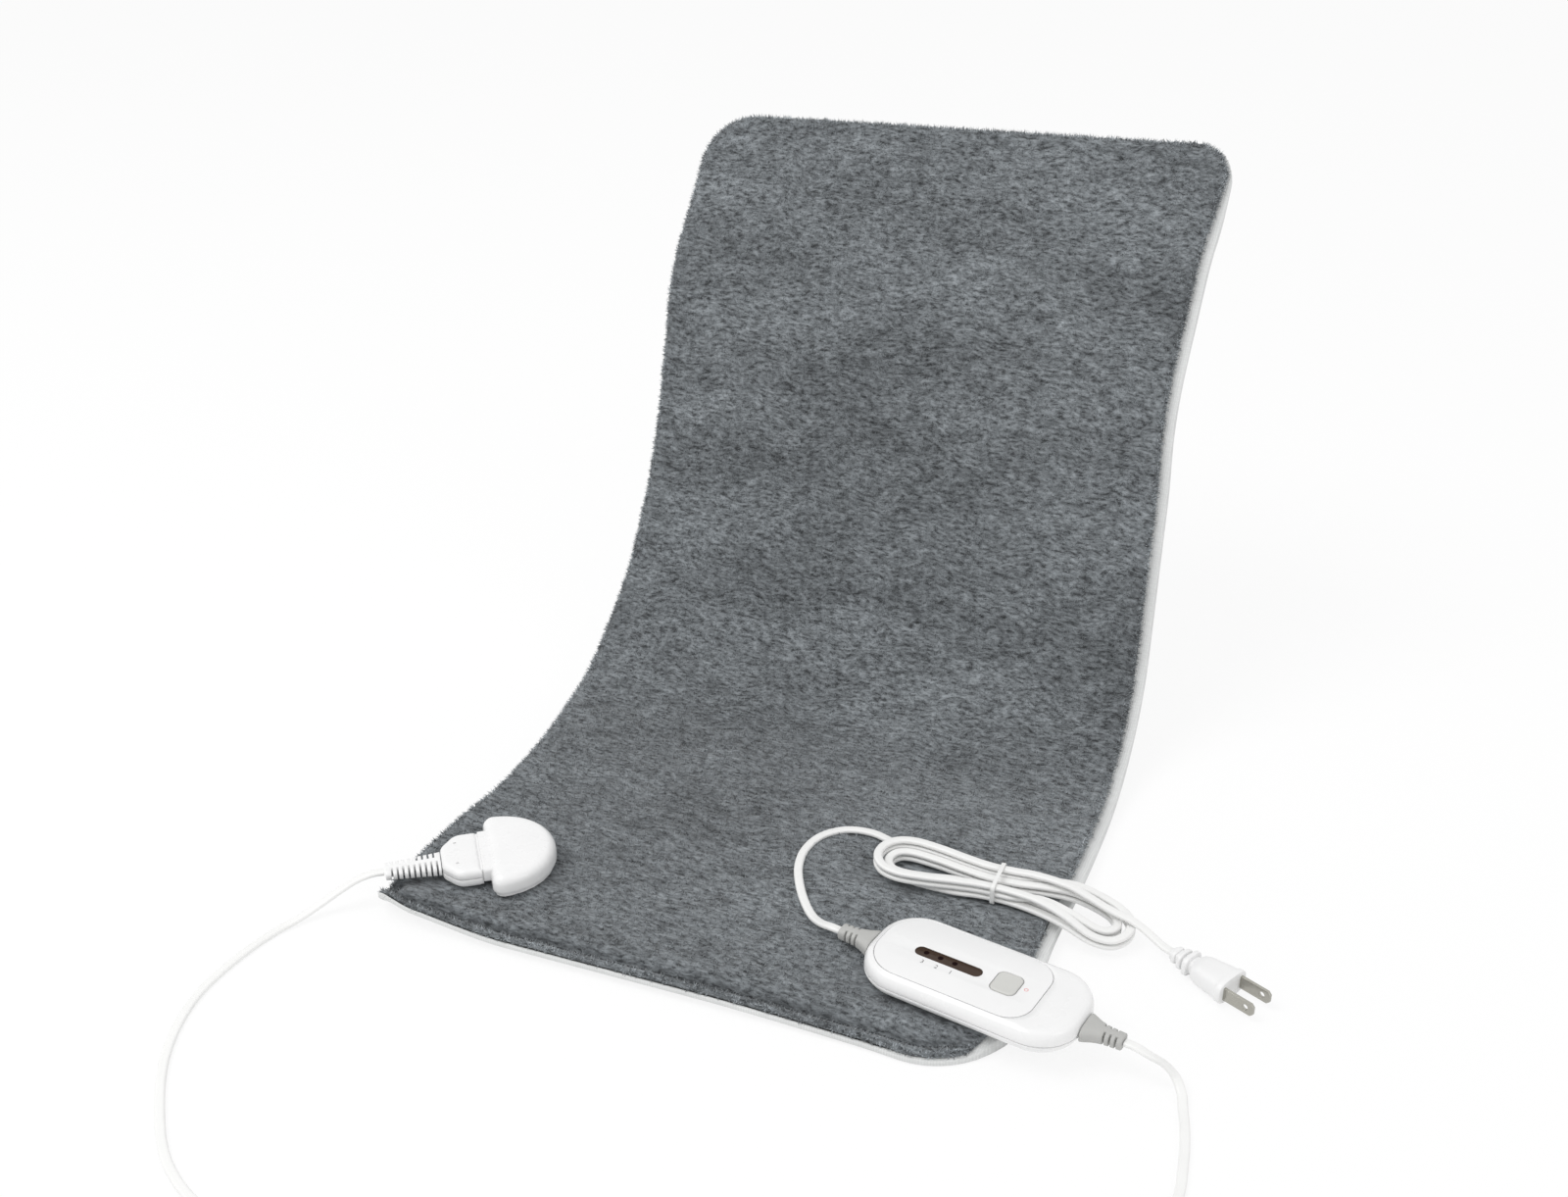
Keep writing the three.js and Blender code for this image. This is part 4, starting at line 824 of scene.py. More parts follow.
def board_finish(name, tint):
    """A green board with copper tracks under its lacquer."""
    material, shader, surface = new_material(name)
    place = shader.node("ShaderNodeTexCoord").outputs["Object"]
    tracks = shader.node("ShaderNodeTexBrick", {
        "Vector": place, "Scale": 120.0, "Mortar Size": 0.06, "Color1": (1, 1, 1, 1),
        "Color2": (0.8, 0.8, 0.8, 1), "Mortar": (0, 0, 0, 1)})
    light = (*(min(1, c) for c in times(tint, 1.7)), 1)
    grain = shader.noise(place, 900.0)
    base = shader.mix(shader.span(grain, 0.3, 0.7), (*tint, 1), light)
    mixed = shader.mix(tracks.outputs["Fac"], base, (0.2, 0.28, 0.07, 1))
    shader.tree.links.new(mixed, surface.inputs["Base Color"])
    shader.tree.links.new(shader.span(grain, 0.2, 0.8, 0.35, 0.6), surface.inputs["Roughness"])
    bumped(shader, surface, tracks.outputs["Fac"], 0.3, 0.0001)
    return material


# How much lighter or darker the tufts and the seam are than the cloth under them; the tufts are lighter as
# painted light on the standing fibres, most of all at the rim as a painted rim highlight
PILE_LIT_TINT = 1.2
RIM_SHEEN_TINT = 2.1
THREAD_TINT = 0.9


def finish_for(name):
    """The finish of each kind of surface, made when it is first asked for."""
    label = name.capitalize()
    if label in bpy.data.materials:
        return bpy.data.materials[label]
    f = settings("finish")
    makers = {
        "white moulding": lambda: moulded(label, f.white, 0.26, 0.04, 0.05, coat=0.2),
        "white face": lambda: moulded(label, f.white, 0.32, 0.04, 0.06),
        "white soft moulding": lambda: moulded(label, f.white, 0.42, 0.05, 0.1),
        "cord jacket": lambda: moulded(label, f.cord, 0.4, 0.06, 0.12, cloud=90.0),
        "relief rubber": lambda: moulded(label, f.relief, 0.55, 0.15, 0.4),
        "button plastic": lambda: moulded(label, f.button, 0.42, 0.12, 0.3),
        "window": lambda: moulded(label, f.window, 0.15, 0.06, 0.05, specular=0.25),
        "lamp": lambda: moulded(label, f.lamp, 0.5, 0.05, 0.05, specular=0.05),
        "clear lamp": lambda: moulded(label, f.clear, 0.18, 0.06, 0.1),
        "printing": lambda: moulded(label, f.printing, 0.5),
        "mark": lambda: moulded(label, f.mark, 0.5),
        "plated metal": lambda: moulded(label, f.metal, 0.24, 0.2, 0.2, metallic=1.0, cloud=300.0),
        "steel": lambda: moulded(label, f.steel, 0.32, 0.2, 0.3, metallic=1.0, cloud=400.0),
        "black resin": lambda: moulded(label, f.black, 0.5, 0.15, 0.5),
        "red resin": lambda: moulded(label, f.wire, 0.35, 0.15, 0.3),
        "board": lambda: board_finish(label, f.board),
        "plush": lambda: plush(label, f.plush),
        # Tufts lighter than the cloth under them, as painted light on the standing fibres
        "plush pile": lambda: plush(label, times(f.plush, PILE_LIT_TINT), 0.2),
        # Tufts along the edge, much lighter as a painted rim highlight
        "plush rim": lambda: plush(label, times(f.plush, RIM_SHEEN_TINT), 0.2),
        "back fabric": lambda: woven(label, f.band),
        "felt": lambda: woven(label, f.felt, 90.0, 0.3),
        # Dark thread of the front seam, dark also as painted shade in its groove
        "thread": lambda: woven(label, f.thread, 1200.0),
        "pale thread": lambda: woven(label, times(f.band, THREAD_TINT), 1200.0),
    }
    return makers[name]()


def painted(piece, finish):
    """Gives a piece its finish in place of any other."""
    piece.data.materials.clear()
    piece.data.materials.append(finish_for(finish))


def dressed(piece, finish, body, slot, *nodes):
    """Gives a finished piece its material and its body, and hides the CAD nodes that it stands for; the
    slot is not used.
    """
    painted(piece, finish)
    if body:
        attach(piece, body)
    if nodes:
        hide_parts(*nodes)
    return piece


# The pad's surface


def soft_zone():
    """Where the rounder bend starts, and the length of the solid's surface there."""
    p = settings("pad")
    extra = (p.soft_bend - p.lower_bend) * math.tan(p.rise / 2)
    return p.flat_length - extra, p.lower_bend * p.rise + 2 * extra


def front_falloff(along):
    """1 at the front edge, falling away over the curl's length."""
    return np.maximum(1 - along / settings("pad").lift_length, 0) ** 2


def front_curl(x, along, end, fade):
    """How far the front edge curls up, where the curl fades towards the handset."""
    p = settings("pad")
    return p.lift * (1 - ramp(x, end, fade)) * front_falloff(along)


# Ramps over the pad, each a start and a length: where its far end hangs short along it, and where
# the extra rise of its left fades across it
FAR_RAMP = 330 * MM, 250 * MM
LEFT_RAMP = -150 * MM, 70 * MM
# How far along the pad, and how far across, the front edge is drawn in
DRAWN_ALONG, DRAWN_ACROSS = 50 * MM, 60 * MM


def on_pad(x, along, height, solid_slack=0.0):
    """Points at a place across and along the pad and a height over its underside."""
    p = settings("pad")
    slack = p.far_slack - solid_slack
    x, along, height = (np.asarray(v, float) for v in np.broadcast_arrays(x, along, height))
    along = along - slack * (0.5 - x / p.width) * ramp(along, *FAR_RAMP)
    drawn = (1 - ramp(along, 0, DRAWN_ALONG)) * ramp(p.width / 2 - x, 0, DRAWN_ACROSS)
    along = along + p.front_back * drawn
    start, solid_length = soft_zone()
    in_bend = np.clip(along - start, 0, solid_length) / solid_length
    flat = np.minimum(along, start)
    bend = in_bend * p.rise
    past = np.maximum(along - start - solid_length, 0)
    back = p.back_length - (p.flat_length - start)
    straight = np.minimum(past, back)
    lean = np.maximum(past - back, 0) / p.upper_bend
    slope = bend - lean
    sin, cos = math.sin(p.rise), math.cos(p.rise)
    y = flat + p.soft_bend * np.sin(bend) + straight * cos
    y = y + p.upper_bend * (sin - np.sin(p.rise - lean))
    z = p.soft_bend * (1 - np.cos(bend)) + straight * sin
    z = z + p.upper_bend * (np.cos(p.rise - lean) - cos)
    curl = front_curl(x, along, p.soft_lift_end, p.soft_lift_fade)
    curl = curl + p.left_lift * (1 - ramp(x, *LEFT_RAMP)) * front_falloff(along)
    from_corner = np.hypot(x + p.width / 2, along)
    curl = curl + p.corner_lift * (1 - ramp(from_corner, 0, p.corner_reach))
    y = y - height * np.sin(slope)
    z = z + curl + height * np.cos(slope)
    return on_floor(np.column_stack([x.ravel(), y.ravel(), z.ravel()]))


# Over how many times their set-back the inner layers are shortened at the front
LAYER_EASE = 2.1


def bent_softly(name, node):
    """A copy of an inner layer that follows the rounder bend and keeps back from the front edge."""
    p = settings("pad")
    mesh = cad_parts[node].data.copy()
    points = np.empty(len(mesh.vertices) * 3)
    mesh.vertices.foreach_get("co", points)
    points = points.reshape(-1, 3)
    x, y, z = (points - np.array(PAD_ORIGIN)).T
    from_axis = p.lower_bend - z
    turn = np.clip(np.arctan2(y - p.flat_length, from_axis), 0, p.rise)
    sin, cos = np.sin(turn), np.cos(turn)
    foot_y = p.flat_length + p.lower_bend * sin
    foot_z = p.lower_bend * (1 - cos)
    height = -(y - foot_y) * sin + (z - foot_z) * cos
    past = (y - foot_y) * cos + (z - foot_z) * sin
    along = p.flat_length + p.lower_bend * turn + past
    leaning = (turn == p.rise) & (past > p.back_length)
    sin, cos = math.sin(p.rise), math.cos(p.rise)
    bends = p.lower_bend + p.upper_bend
    from_y = p.flat_length + bends * sin + p.back_length * cos - y
    from_z = z - p.lower_bend + bends * cos - p.back_length * sin
    lean = p.rise - np.arctan2(from_y, from_z)
    height = np.where(leaning, np.hypot(from_y, from_z) - p.upper_bend, height)
    lean_start = p.flat_length + p.lower_bend * p.rise + p.back_length
    along = np.where(leaning, lean_start + p.upper_bend * lean, along)
    height = height - front_curl(x, along, p.lift_end, p.lift_fade)
    along = along + p.layer_back * np.maximum(1 - along / (LAYER_EASE * p.layer_back), 0)
    points = on_pad(x, along, height, p.solid_slack)
    mesh.vertices.foreach_set("co", points.ravel())
    mesh.name = name
    return linked(name, mesh)


# Radii of the pad's corners: front right, front left, far right, far left
CORNERS = {(1, 0): 42 * MM, (-1, 0): 13 * MM, (1, 1): 22 * MM, (-1, 1): 32 * MM}

# The soft edges stray a little from straight: places along the pad, and how far out they lie there,
# in millimetres, on the right (1) and on the left (-1)
EDGE_STRAY = {
    1: [
        (0, 3), (80, 3.4), (110, 3.4), (140, 5), (180, 5.8), (220, 5.8), (260, 5.5), (300, 4.8),
        (340, 3), (380, 1), (410, -0.5), (440, -3), (465, -3.4), (500, -2), (540, -0.2), (560, 2.4),
        (580, 5), (601.5, 6.5),
    ],
    -1: [
        (0, 2.2), (20, 2.6), (50, 1), (80, -1), (110, -5), (150, -5.5), (180, -3), (210, 0.5),
        (240, 1.8), (280, 2.4), (310, 0), (340, -2.8), (370, -4.8), (400, -5), (430, -3.8),
        (460, -1.8), (490, 1), (515, 1), (540, -0.8), (560, -2), (601.5, -2),
    ],
}

# Ramps along the pad over which the right edge band's flare grows and fades
FLARE_IN = 4 * MM, 30 * MM
FLARE_OUT = 545 * MM, 50 * MM


def stray(side, along):
    """How far the edge strays outwards on one side."""
    fine = through(np.array(EDGE_STRAY[side]) * MM, 6 * MM)
    return np.interp(along, fine[:, 0], fine[:, 1])


def flared(side, along, flare):
    """How far the edge band stands out on one side: only on the right, less towards both ends."""
    if side < 0:
        return 0 * along
    return flare * ramp(along, *FLARE_IN) * (1 - ramp(along, *FLARE_OUT))


def corners(side, along, inset):
    """For each corner of a side: its radius at an inset, and the distance from its end of the pad."""
    length = settings("pad").length
    for end in (0, 1):
        radius = max(CORNERS[side, end] - inset, 3 * MM)
        yield radius, (along if end == 0 else length - along) - inset


def edge_reach(side, along, inset, flare=0.0):
    """How far out the pad's edge lies on one side, at a length along the pad."""
    reach = np.full_like(along, settings("pad").width / 2 - inset)
    for radius, from_end in corners(side, along, inset):
        near = np.clip(radius - from_end, 0, radius)
        reach = reach - (radius - np.sqrt(np.maximum(radius ** 2 - near ** 2, 0)))
    return reach + stray(side, along) + flared(side, along, flare)


def edge_distance(x, along, inset, flare=0.0):
    """Distance from a place on the pad to its outline at an inset."""
    p = settings("pad")
    nearest = np.minimum(along - inset, p.length - inset - along)
    for side in (1, -1):
        out = p.width / 2 - inset + stray(side, along) + flared(side, along, flare)
        from_side = out - side * x
        nearest = np.minimum(nearest, from_side)
        for radius, from_end in corners(side, along, inset):
            inside = (from_side < radius) & (from_end < radius)
            round_edge = radius - np.hypot(radius - from_side, radius - from_end)
            nearest = np.where(inside, np.minimum(nearest, round_edge), nearest)
    return np.maximum(nearest, 0)


# How far in the grid and the seam follow the round corners: past the largest radius
EDGE_ZONE = 46 * MM


def pad_grid(inset, marks, step, flare=0.0):
    """A grid over the pad inside an inset outline: places across and along, row by row."""
    p = settings("pad")
    near = np.append(marks, np.arange(marks[-1] + step, EDGE_ZONE, step))

    def stations(full, count_over):
        count = int((count_over - 2 * near[-1]) / step) + 1
        middle = np.linspace(near[-1], full - near[-1], count)[1:-1]
        return np.concatenate([near, middle, full - near[::-1]])

    across = stations(p.width, p.width) / p.width
    rows = stations(p.length - 2 * inset, p.length) + inset
    right, left = edge_reach(1, rows, inset, flare), edge_reach(-1, rows, inset, flare)
    x = -left[:, None] + (left + right)[:, None] * across[None, :]
    along = np.repeat(rows[:, None], len(across), axis=1)
    return x, along


def grid_faces(rows, columns, first=0, flip=False):
    """Faces of a grid of points, given row by row."""
    index = np.arange(rows * columns).reshape(rows, columns) + first
    corner_sets = [index[:-1, :-1], index[:-1, 1:], index[1:, 1:], index[1:, :-1]]
    quads = np.stack(corner_sets, axis=-1).reshape(-1, 4)
    return (quads[:, ::-1] if flip else quads).tolist()


def rim_faces(rows, columns):
    """Faces that join the outlines of an upper and a lower grid of the same size."""
    index = np.arange(rows * columns).reshape(rows, columns)
    rim = np.concatenate([index[0, :-1], index[:-1, -1], index[-1, :0:-1], index[:0:-1, 0]])
    after = np.roll(rim, -1)
    below = rows * columns
    return [(int(a), int(a + below), int(b + below), int(b)) for a, b in zip(rim, after)]


def pad_solid(name, inset, marks, step, top, underside, sharp=60, flare=0.0):
    """A closed soft sheet over the pad, from its top and underside heights."""
    x, along = pad_grid(inset, marks, step, flare)
    distance = edge_distance(x, along, inset, flare)
    upper = on_pad(x, along, top(x, along, distance))
    lower = on_pad(x, along, underside(x, along, distance))
    faces = grid_faces(*x.shape) + grid_faces(*x.shape, x.size, True) + rim_faces(*x.shape)
    return new_object(name, np.vstack([upper, lower]), faces, sharp)


def rounded_edge(distance, radius):
    """A quarter round that rises from 0 at an edge to 1 at the radius."""
    return np.sqrt(np.maximum(1 - (1 - np.clip(distance / radius, 0, 1)) ** 2, 0))


# The connector's way over the plush, and the hank's half sizes on it
PULL_MIDDLE, PULL_HALF_LENGTH = 22 * MM, 20 * MM
HANK_HALF_SIZES = 62 * MM, 13 * MM
# How tall the pile is under what rests on it, and over what width it gets up again
PRESSED = 0.12
PRESSED_FADE = 3 * MM


def pressed_places():
    """Middle, turn and half sizes of what rests on the plush, for the pile under it to lie flat."""
    h, s, l = settings("handset"), settings("socket"), settings("leads")
    front, way = np.array((s.x, s.y)), np.array((math.cos(s.turn), math.sin(s.turn)))
    return [
        ((h.x, h.y), h.turn, h.length / 2, h.width / 2 - 1 * MM),
        (front + s.depth / 2 * way, s.turn, s.depth / 2 - 2 * MM, s.half_width - 3 * MM),
        (front - PULL_MIDDLE * way, s.turn, PULL_HALF_LENGTH, s.shell_half_width - MM),
        ((l.hank_x - 4 * MM, l.hank_y), 0, *HANK_HALF_SIZES),
    ]


def pile_share(x, along):
    """How tall the pile stands: 1 in the open, lower under what rests on it."""
    height = np.ones_like(x)
    for (cx, cy), turn, half_length, half_width in pressed_places():
        cos, sin = math.cos(turn), math.sin(turn)
        u = (x - cx) * cos + (along - cy) * sin
        v = -(x - cx) * sin + (along - cy) * cos
        outside = np.maximum(np.abs(u) - half_length, np.abs(v) - half_width)
        height = np.minimum(height, PRESSED + (1 - PRESSED) * ramp(outside, 0, PRESSED_FADE))
    return height


# Grid lines near the edge, as distances in from it, and the step of the rest
PLUSH_MARKS = np.array([
    0, 0.15, 0.5, 1, 1.6, 2.4, 3.4, 4.4, 5.1, 5.6, 6, 6.3, 6.8, 7.6, 8.8, 10.4, 12.2, 14,
]) * MM
PLUSH_STEP = 2.15 * MM
BACK_MARKS = np.array([
    0, 0.12, 0.4, 0.8, 1.5, 1.9, 2.6, 4, 5.3, 5.7, 7, 7.6, 8.2, 8.8, 9.6, 11.5,
]) * MM
BACK_STEP = 4 * MM

# Where the front's sewn edge fades along the pad, and where the right side starts across it
FRONT_FADE = 13 * MM, 11 * MM
RIGHT_SIDE = 100 * MM, 20 * MM

# The plush: a puff behind its edge (height, place and width), the round of its sewn flange and of
# its lower edge, and where its waves reach their full height. Layers of noise are (height and cell in
# millimetres, seed, crowding along the pad)
PUFF = 0.5 * MM, 4.6 * MM, 2.4 * MM
FLANGE_ROUND = 2.2 * MM
FOOT_ROUND = 0.9 * MM
SEAM_WIDTH = 1.35 * MM
OPEN_FADE = 16 * MM
WAVES = (0.9, 62, 3, 1), (0.5, 27, 4, 1)
CLUMPS = (0.32, 7, 5, 1.25), (0.2, 3.4, 6, 1.4)
# How much of its clumps the plush keeps under what rests on it
CLUMPS_PRESSED = 0.4

# The back: the rim's fall and round, the round below, its seam, and its creases
RIM_FALL = 0.4 * MM
RIM_ROUND = 0.7 * MM
LOWER_ROUND = 2.6 * MM
FRONT_SQUARED = 0.65
REAR_SEAM, REAR_SEAM_DEPTH, REAR_SEAM_WIDTH = 8 * MM, 0.5 * MM, 1.1 * MM
CREASES = (0.28, 34, 11, 1), (0.16, 12, 12, 1)
LOWEST_CREASE = -0.1 * MM
CREASE_FADE = 20 * MM
RELIEF_FADE = 3 * MM


def front_share(along):
    """1 along the pad's front edge, fading a little further in."""
    return 1 - ramp(along, *FRONT_FADE)


def cover_foot(along):
    """Height of the plush cover's lower edge."""
    p = settings("pad")
    return p.cover_base - p.front_hang * front_share(along)


def cover_middle(along):
    """Height of the plush cover's outermost line."""
    p = settings("pad")
    foot, front = cover_foot(along), front_share(along)
    return foot + (p.thickness - foot) * (1 - front) / 3 + (p.flange - foot) * front / 4


def seam_share(distance):
    """1 in the middle of the front seam, fading to both sides."""
    return ridge(distance, settings("pad").seam_inset, SEAM_WIDTH)


def rough_height(x, along, *layers):
    """The sum of layers of smooth noise."""
    return sum(
        height * MM * lattice_noise(x, along * crowding, cell * MM, seed)
        for height, cell, seed, crowding in layers
    )


def plush_top(x, along, distance):
    """Height of the plush face: a rolled edge, a sewn flange at the front, soft waves and clumps."""
    p = settings("pad")
    middle = cover_middle(along)
    stand = rounded_edge(distance, p.roll)
    puff, puff_place, puff_width = PUFF
    rolled = middle + (p.thickness - middle) * stand + puff * ridge(distance, puff_place, puff_width)
    from_seam = distance - p.seam_inset
    sewn = middle + (p.flange - middle) * rounded_edge(distance, FLANGE_ROUND)
    sewn = sewn - p.seam_depth * seam_share(distance)
    sewn = sewn + (p.thickness - p.flange) * rounded_edge(np.maximum(from_seam, 0), p.shoulder)
    front = front_share(along)
    height = rolled * (1 - front) + sewn * front
    open_face = ramp(from_seam, 0, OPEN_FADE)
    wave, clump = rough_height(x, along, *WAVES), rough_height(x, along, *CLUMPS)
    free = ramp(pile_share(x, along), PRESSED, 1 - PRESSED)
    kept = CLUMPS_PRESSED + (1 - CLUMPS_PRESSED) * free
    return height + (wave * open_face * free + clump * kept) * stand


def plush_underside(x, along, distance):
    """Height of the cover's lower face, with a small round at its edge."""
    foot, middle = cover_foot(along), cover_middle(along)
    return middle - (middle - foot) * rounded_edge(distance, FOOT_ROUND)


# The way through the cover for the socket's stem, along and across the socket
STEM_ALONG = 10.9 * MM, 18.6 * MM
STEM_HALF_WIDTH = 9.6 * MM


def make_plush():
    """The plush cover, open where the socket's stem goes down through it."""
    p, s = settings("pad"), settings("socket")
    grid = p.cover_edge, PLUSH_MARKS, PLUSH_STEP
    cover = pad_solid("plush_cover", *grid, plush_top, plush_underside, 180)
    sides = -STEM_HALF_WIDTH, STEM_HALF_WIDTH
    stem = box_mesh("stem_way", [(*STEM_ALONG, *sides, -p.thickness, 4 * MM)])
    set_in(stem, (s.x, s.y, p.thickness), s.turn)
    return cut(cover, stem, 180)


def make_back():
    """The pale back and edge band: a shallow tray with a soft lower edge and faint creases."""
    p = settings("pad")

    def top(x, along, distance):
        wall = p.rim + (flared(1, along, p.flare) + p.tuck) * ramp(x, *RIGHT_SIDE)
        drop = ramp(distance, wall, RIM_FALL)
        rim = p.band_height - p.front_hang * front_share(along)
        rim = rim - RIM_ROUND * (1 - rounded_edge(distance, RIM_ROUND))
        return rim * (1 - drop) + p.sheet * drop

    def underside(x, along, distance):
        base = LOWER_ROUND * (1 - rounded_edge(distance, LOWER_ROUND))
        base = base * (1 - FRONT_SQUARED * front_share(along))
        seam = REAR_SEAM_DEPTH * ridge(distance, REAR_SEAM, REAR_SEAM_WIDTH)
        crease = np.maximum(rough_height(x, along, *CREASES), LOWEST_CREASE)
        relief = seam + crease * ramp(distance, 0, CREASE_FADE)
        return base + relief * ramp(distance, 0, RELIEF_FADE)

    return pad_solid("pad_back", 0, BACK_MARKS, BACK_STEP, top, underside, 50, p.flare)


class GeometryTree(Tree):
    """A geometry tree with named inputs, a material last among them."""

    def __init__(self, name, sockets):
        super().__init__(bpy.data.node_groups.new(name, "GeometryNodeTree"))
        face = self.tree.interface
        face.new_socket("Geometry", in_out="INPUT", socket_type="NodeSocketGeometry")
        for label, kind, default in sockets:
            face.new_socket(label, in_out="INPUT", socket_type=kind).default_value = default
        face.new_socket("Material", in_out="INPUT", socket_type="NodeSocketMaterial")
        face.new_socket("Geometry", in_out="OUTPUT", socket_type="NodeSocketGeometry")
        self.given = self.tree.nodes.new("NodeGroupInput").outputs
        self.result = self.tree.nodes.new("NodeGroupOutput")

    def attribute(self, name):
        made = self.node("GeometryNodeInputNamedAttribute", {"Name": name}, data_type="FLOAT")
        return made.outputs["Attribute"]

    def finish(self, points, instance, **inputs):
        """Sets an instance on each point, and ends in real geometry with its material."""
        inputs = {"Points": points, "Instance": instance, **inputs}
        placed = self.node("GeometryNodeInstanceOnPoints", inputs).outputs["Instances"]
        real = self.node("GeometryNodeRealizeInstances", {"Geometry": placed}).outputs["Geometry"]
        inputs = {"Geometry": real, "Material": self.given["Material"]}
        painted = self.node("GeometryNodeSetMaterial", inputs).outputs["Geometry"]
        self.tree.links.new(painted, self.result.inputs["Geometry"])
        return self.tree


def grown(name, base, tree, values, sharp=40):
    """What a geometry tree makes of a base mesh, as a plain mesh of its own."""
    holder = linked(name + "_holder", base)
    modifier = holder.modifiers.new("grow", "NODES")
    modifier.node_group = tree
    for item in tree.interface.items_tree:
        if item.in_out == "INPUT" and item.name in values:
            modifier[item.identifier] = values[item.name]
    return shaded(name, taken(holder), sharp)


# Ranges of a tuft's lean, in radians about its own axes, and of its height as a share
LEAN_LOW, LEAN_HIGH = (-0.75, -0.75, 0.0), (0.95, 0.75, 6.283)
TALL_LOW, TALL_HIGH = 0.55, 1.2


def pile_tree():
    """Short leaning tufts over a surface, taller where the attribute says so."""
    g = GeometryTree("Plush pile", [
        ("Density", FLOAT, 1000.0), ("Fibre Length", FLOAT, 0.002), ("Foot", FLOAT, 0.0003),
        ("Seed", "NodeSocketInt", 1),
    ])
    density = g.product(g.attribute("crowd"), g.given["Density"])
    spread = g.node("GeometryNodeDistributePointsOnFaces", {
        "Mesh": g.given["Geometry"], "Density": density, "Seed": g.given["Seed"]}).outputs
    tuft = g.node("GeometryNodeMeshCone", {
        "Vertices": 3, "Side Segments": 1, "Radius Top": 0.0, "Radius Bottom": g.given["Foot"],
        "Depth": g.given["Fibre Length"]}, fill_type="NONE").outputs["Mesh"]
    upright = g.node("FunctionNodeAlignRotationToVector", {
        "Rotation": spread["Rotation"], "Vector": spread["Normal"]}, axis="Z").outputs["Rotation"]
    lean = g.node("FunctionNodeRandomValue", {0: LEAN_LOW, 1: LEAN_HIGH, "Seed": 5},
                  data_type="FLOAT_VECTOR").outputs["Value"]
    tilt = g.node("FunctionNodeEulerToRotation", {"Euler": lean}).outputs["Rotation"]
    turned_way = g.node("FunctionNodeRotateRotation", {"Rotation": upright, "Rotate By": tilt},
                        rotation_space="LOCAL").outputs["Rotation"]
    vary = g.node("FunctionNodeRandomValue", {2: TALL_LOW, 3: TALL_HIGH, "Seed": 9},
                  data_type="FLOAT").outputs[1]
    tall = g.product(g.attribute("pile"), vary)
    scale = g.node("ShaderNodeCombineXYZ", {"X": 1.0, "Y": 1.0, "Z": tall}).outputs[0]
    return g.finish(spread["Points"], tuft, Rotation=turned_way, Scale=scale)


# How far the pile lies down along the front seam
SEAM_PRESS = 0.93


def make_pile(name, crowd, seed, finish):
    """Tufts over the plush cover's face, as close as the crowd at each distance from its edge."""
    p = settings("pad")
    x, along = pad_grid(p.cover_edge, PLUSH_MARKS, PLUSH_STEP)
    distance = edge_distance(x, along, p.cover_edge)
    mesh = bpy.data.meshes.new("plush_face")
    face = on_pad(x, along, plush_top(x, along, distance))
    mesh.from_pydata(face.tolist(), [], grid_faces(*x.shape))
    seam = np.sqrt(seam_share(distance)) * front_share(along)
    tall = pile_share(x, along) * (1 - SEAM_PRESS * seam)
    for label, values in (("pile", tall), ("crowd", crowd(distance))):
        attribute = mesh.attributes.new(label, "FLOAT", "POINT")
        attribute.data.foreach_set("value", values.ravel().astype(np.float32))
    pile = grown(name, mesh, pile_tree(), {
        "Density": p.pile_density, "Fibre Length": p.pile, "Foot": p.pile_width, "Seed": seed,
        "Material": finish_for(finish),
    }, 180)
    return dressed(pile, finish, ROOT, "plush_fabric")


def stitch_tree():
    """Stitches laid end to end along a line."""
    g = GeometryTree("Stitches", [
        ("Pitch", FLOAT, 0.003), ("Stitch Length", FLOAT, 0.002), ("Thread", FLOAT, 0.0004),
    ])
    line = g.node("GeometryNodeMeshToCurve", {"Mesh": g.given["Geometry"]}).outputs["Curve"]
    inputs = {"Curve": line, "Length": g.given["Pitch"]}
    spread = g.node("GeometryNodeCurveToPoints", inputs, mode="LENGTH").outputs
    turned_way = g.node("FunctionNodeAlignRotationToVector", {"Vector": spread["Tangent"]}, axis="Z")
    half = g.product(g.given["Stitch Length"], 0.5)
    thread = g.node("GeometryNodeMeshUVSphere", {"Segments": 8, "Rings": 6, "Radius": 1.0}).outputs["Mesh"]
    shape = g.node("ShaderNodeCombineXYZ", {"X": g.given["Thread"], "Y": g.given["Thread"], "Z": half})
    return g.finish(
        spread["Points"], thread, Rotation=turned_way.outputs["Rotation"], Scale=shape.outputs[0])


def side_lines(rows, inset):
    """The pad's left and right edges at an inset, for each row along the pad."""
    return -edge_reach(-1, rows, inset), edge_reach(1, rows, inset)


def seam_line(inset, height):
    """A closed line round the pad at an inset and a height over its underside."""
    length = settings("pad").length
    near = inset + EDGE_ZONE * ease_in(24)
    straight = EDGE_ZONE + 4 * MM
    rows = np.concatenate([near, np.linspace(straight, length - straight, 170), length - near[::-1]])
    left, right = side_lines(rows, inset)
    x = np.concatenate([right, left[::-1]])
    return on_pad(x, np.concatenate([rows, rows[::-1]]), np.full_like(x, height))


def front_line(inset, height, end):
    """A line inside the pad's front edge that turns the corners, up to a length along each side."""
    rows = inset + (end - inset) * ease_in(12)
    left, right = side_lines(rows, inset)
    middle = np.linspace(left[0], right[0], 90)[1:-1]
    x = np.concatenate([left[::-1], middle, right])
    along = np.concatenate([rows[::-1], np.full_like(middle, inset), rows])
    return on_pad(x, along, np.full_like(x, height))


def line_mesh(name, points, closed=False):
    """A mesh of edges from point to point."""
    mesh = bpy.data.meshes.new(name)
    count = len(points)
    ends = range(count if closed else count - 1)
    mesh.from_pydata([tuple(p) for p in points], [(i, (i + 1) % count) for i in ends], [])
    return mesh


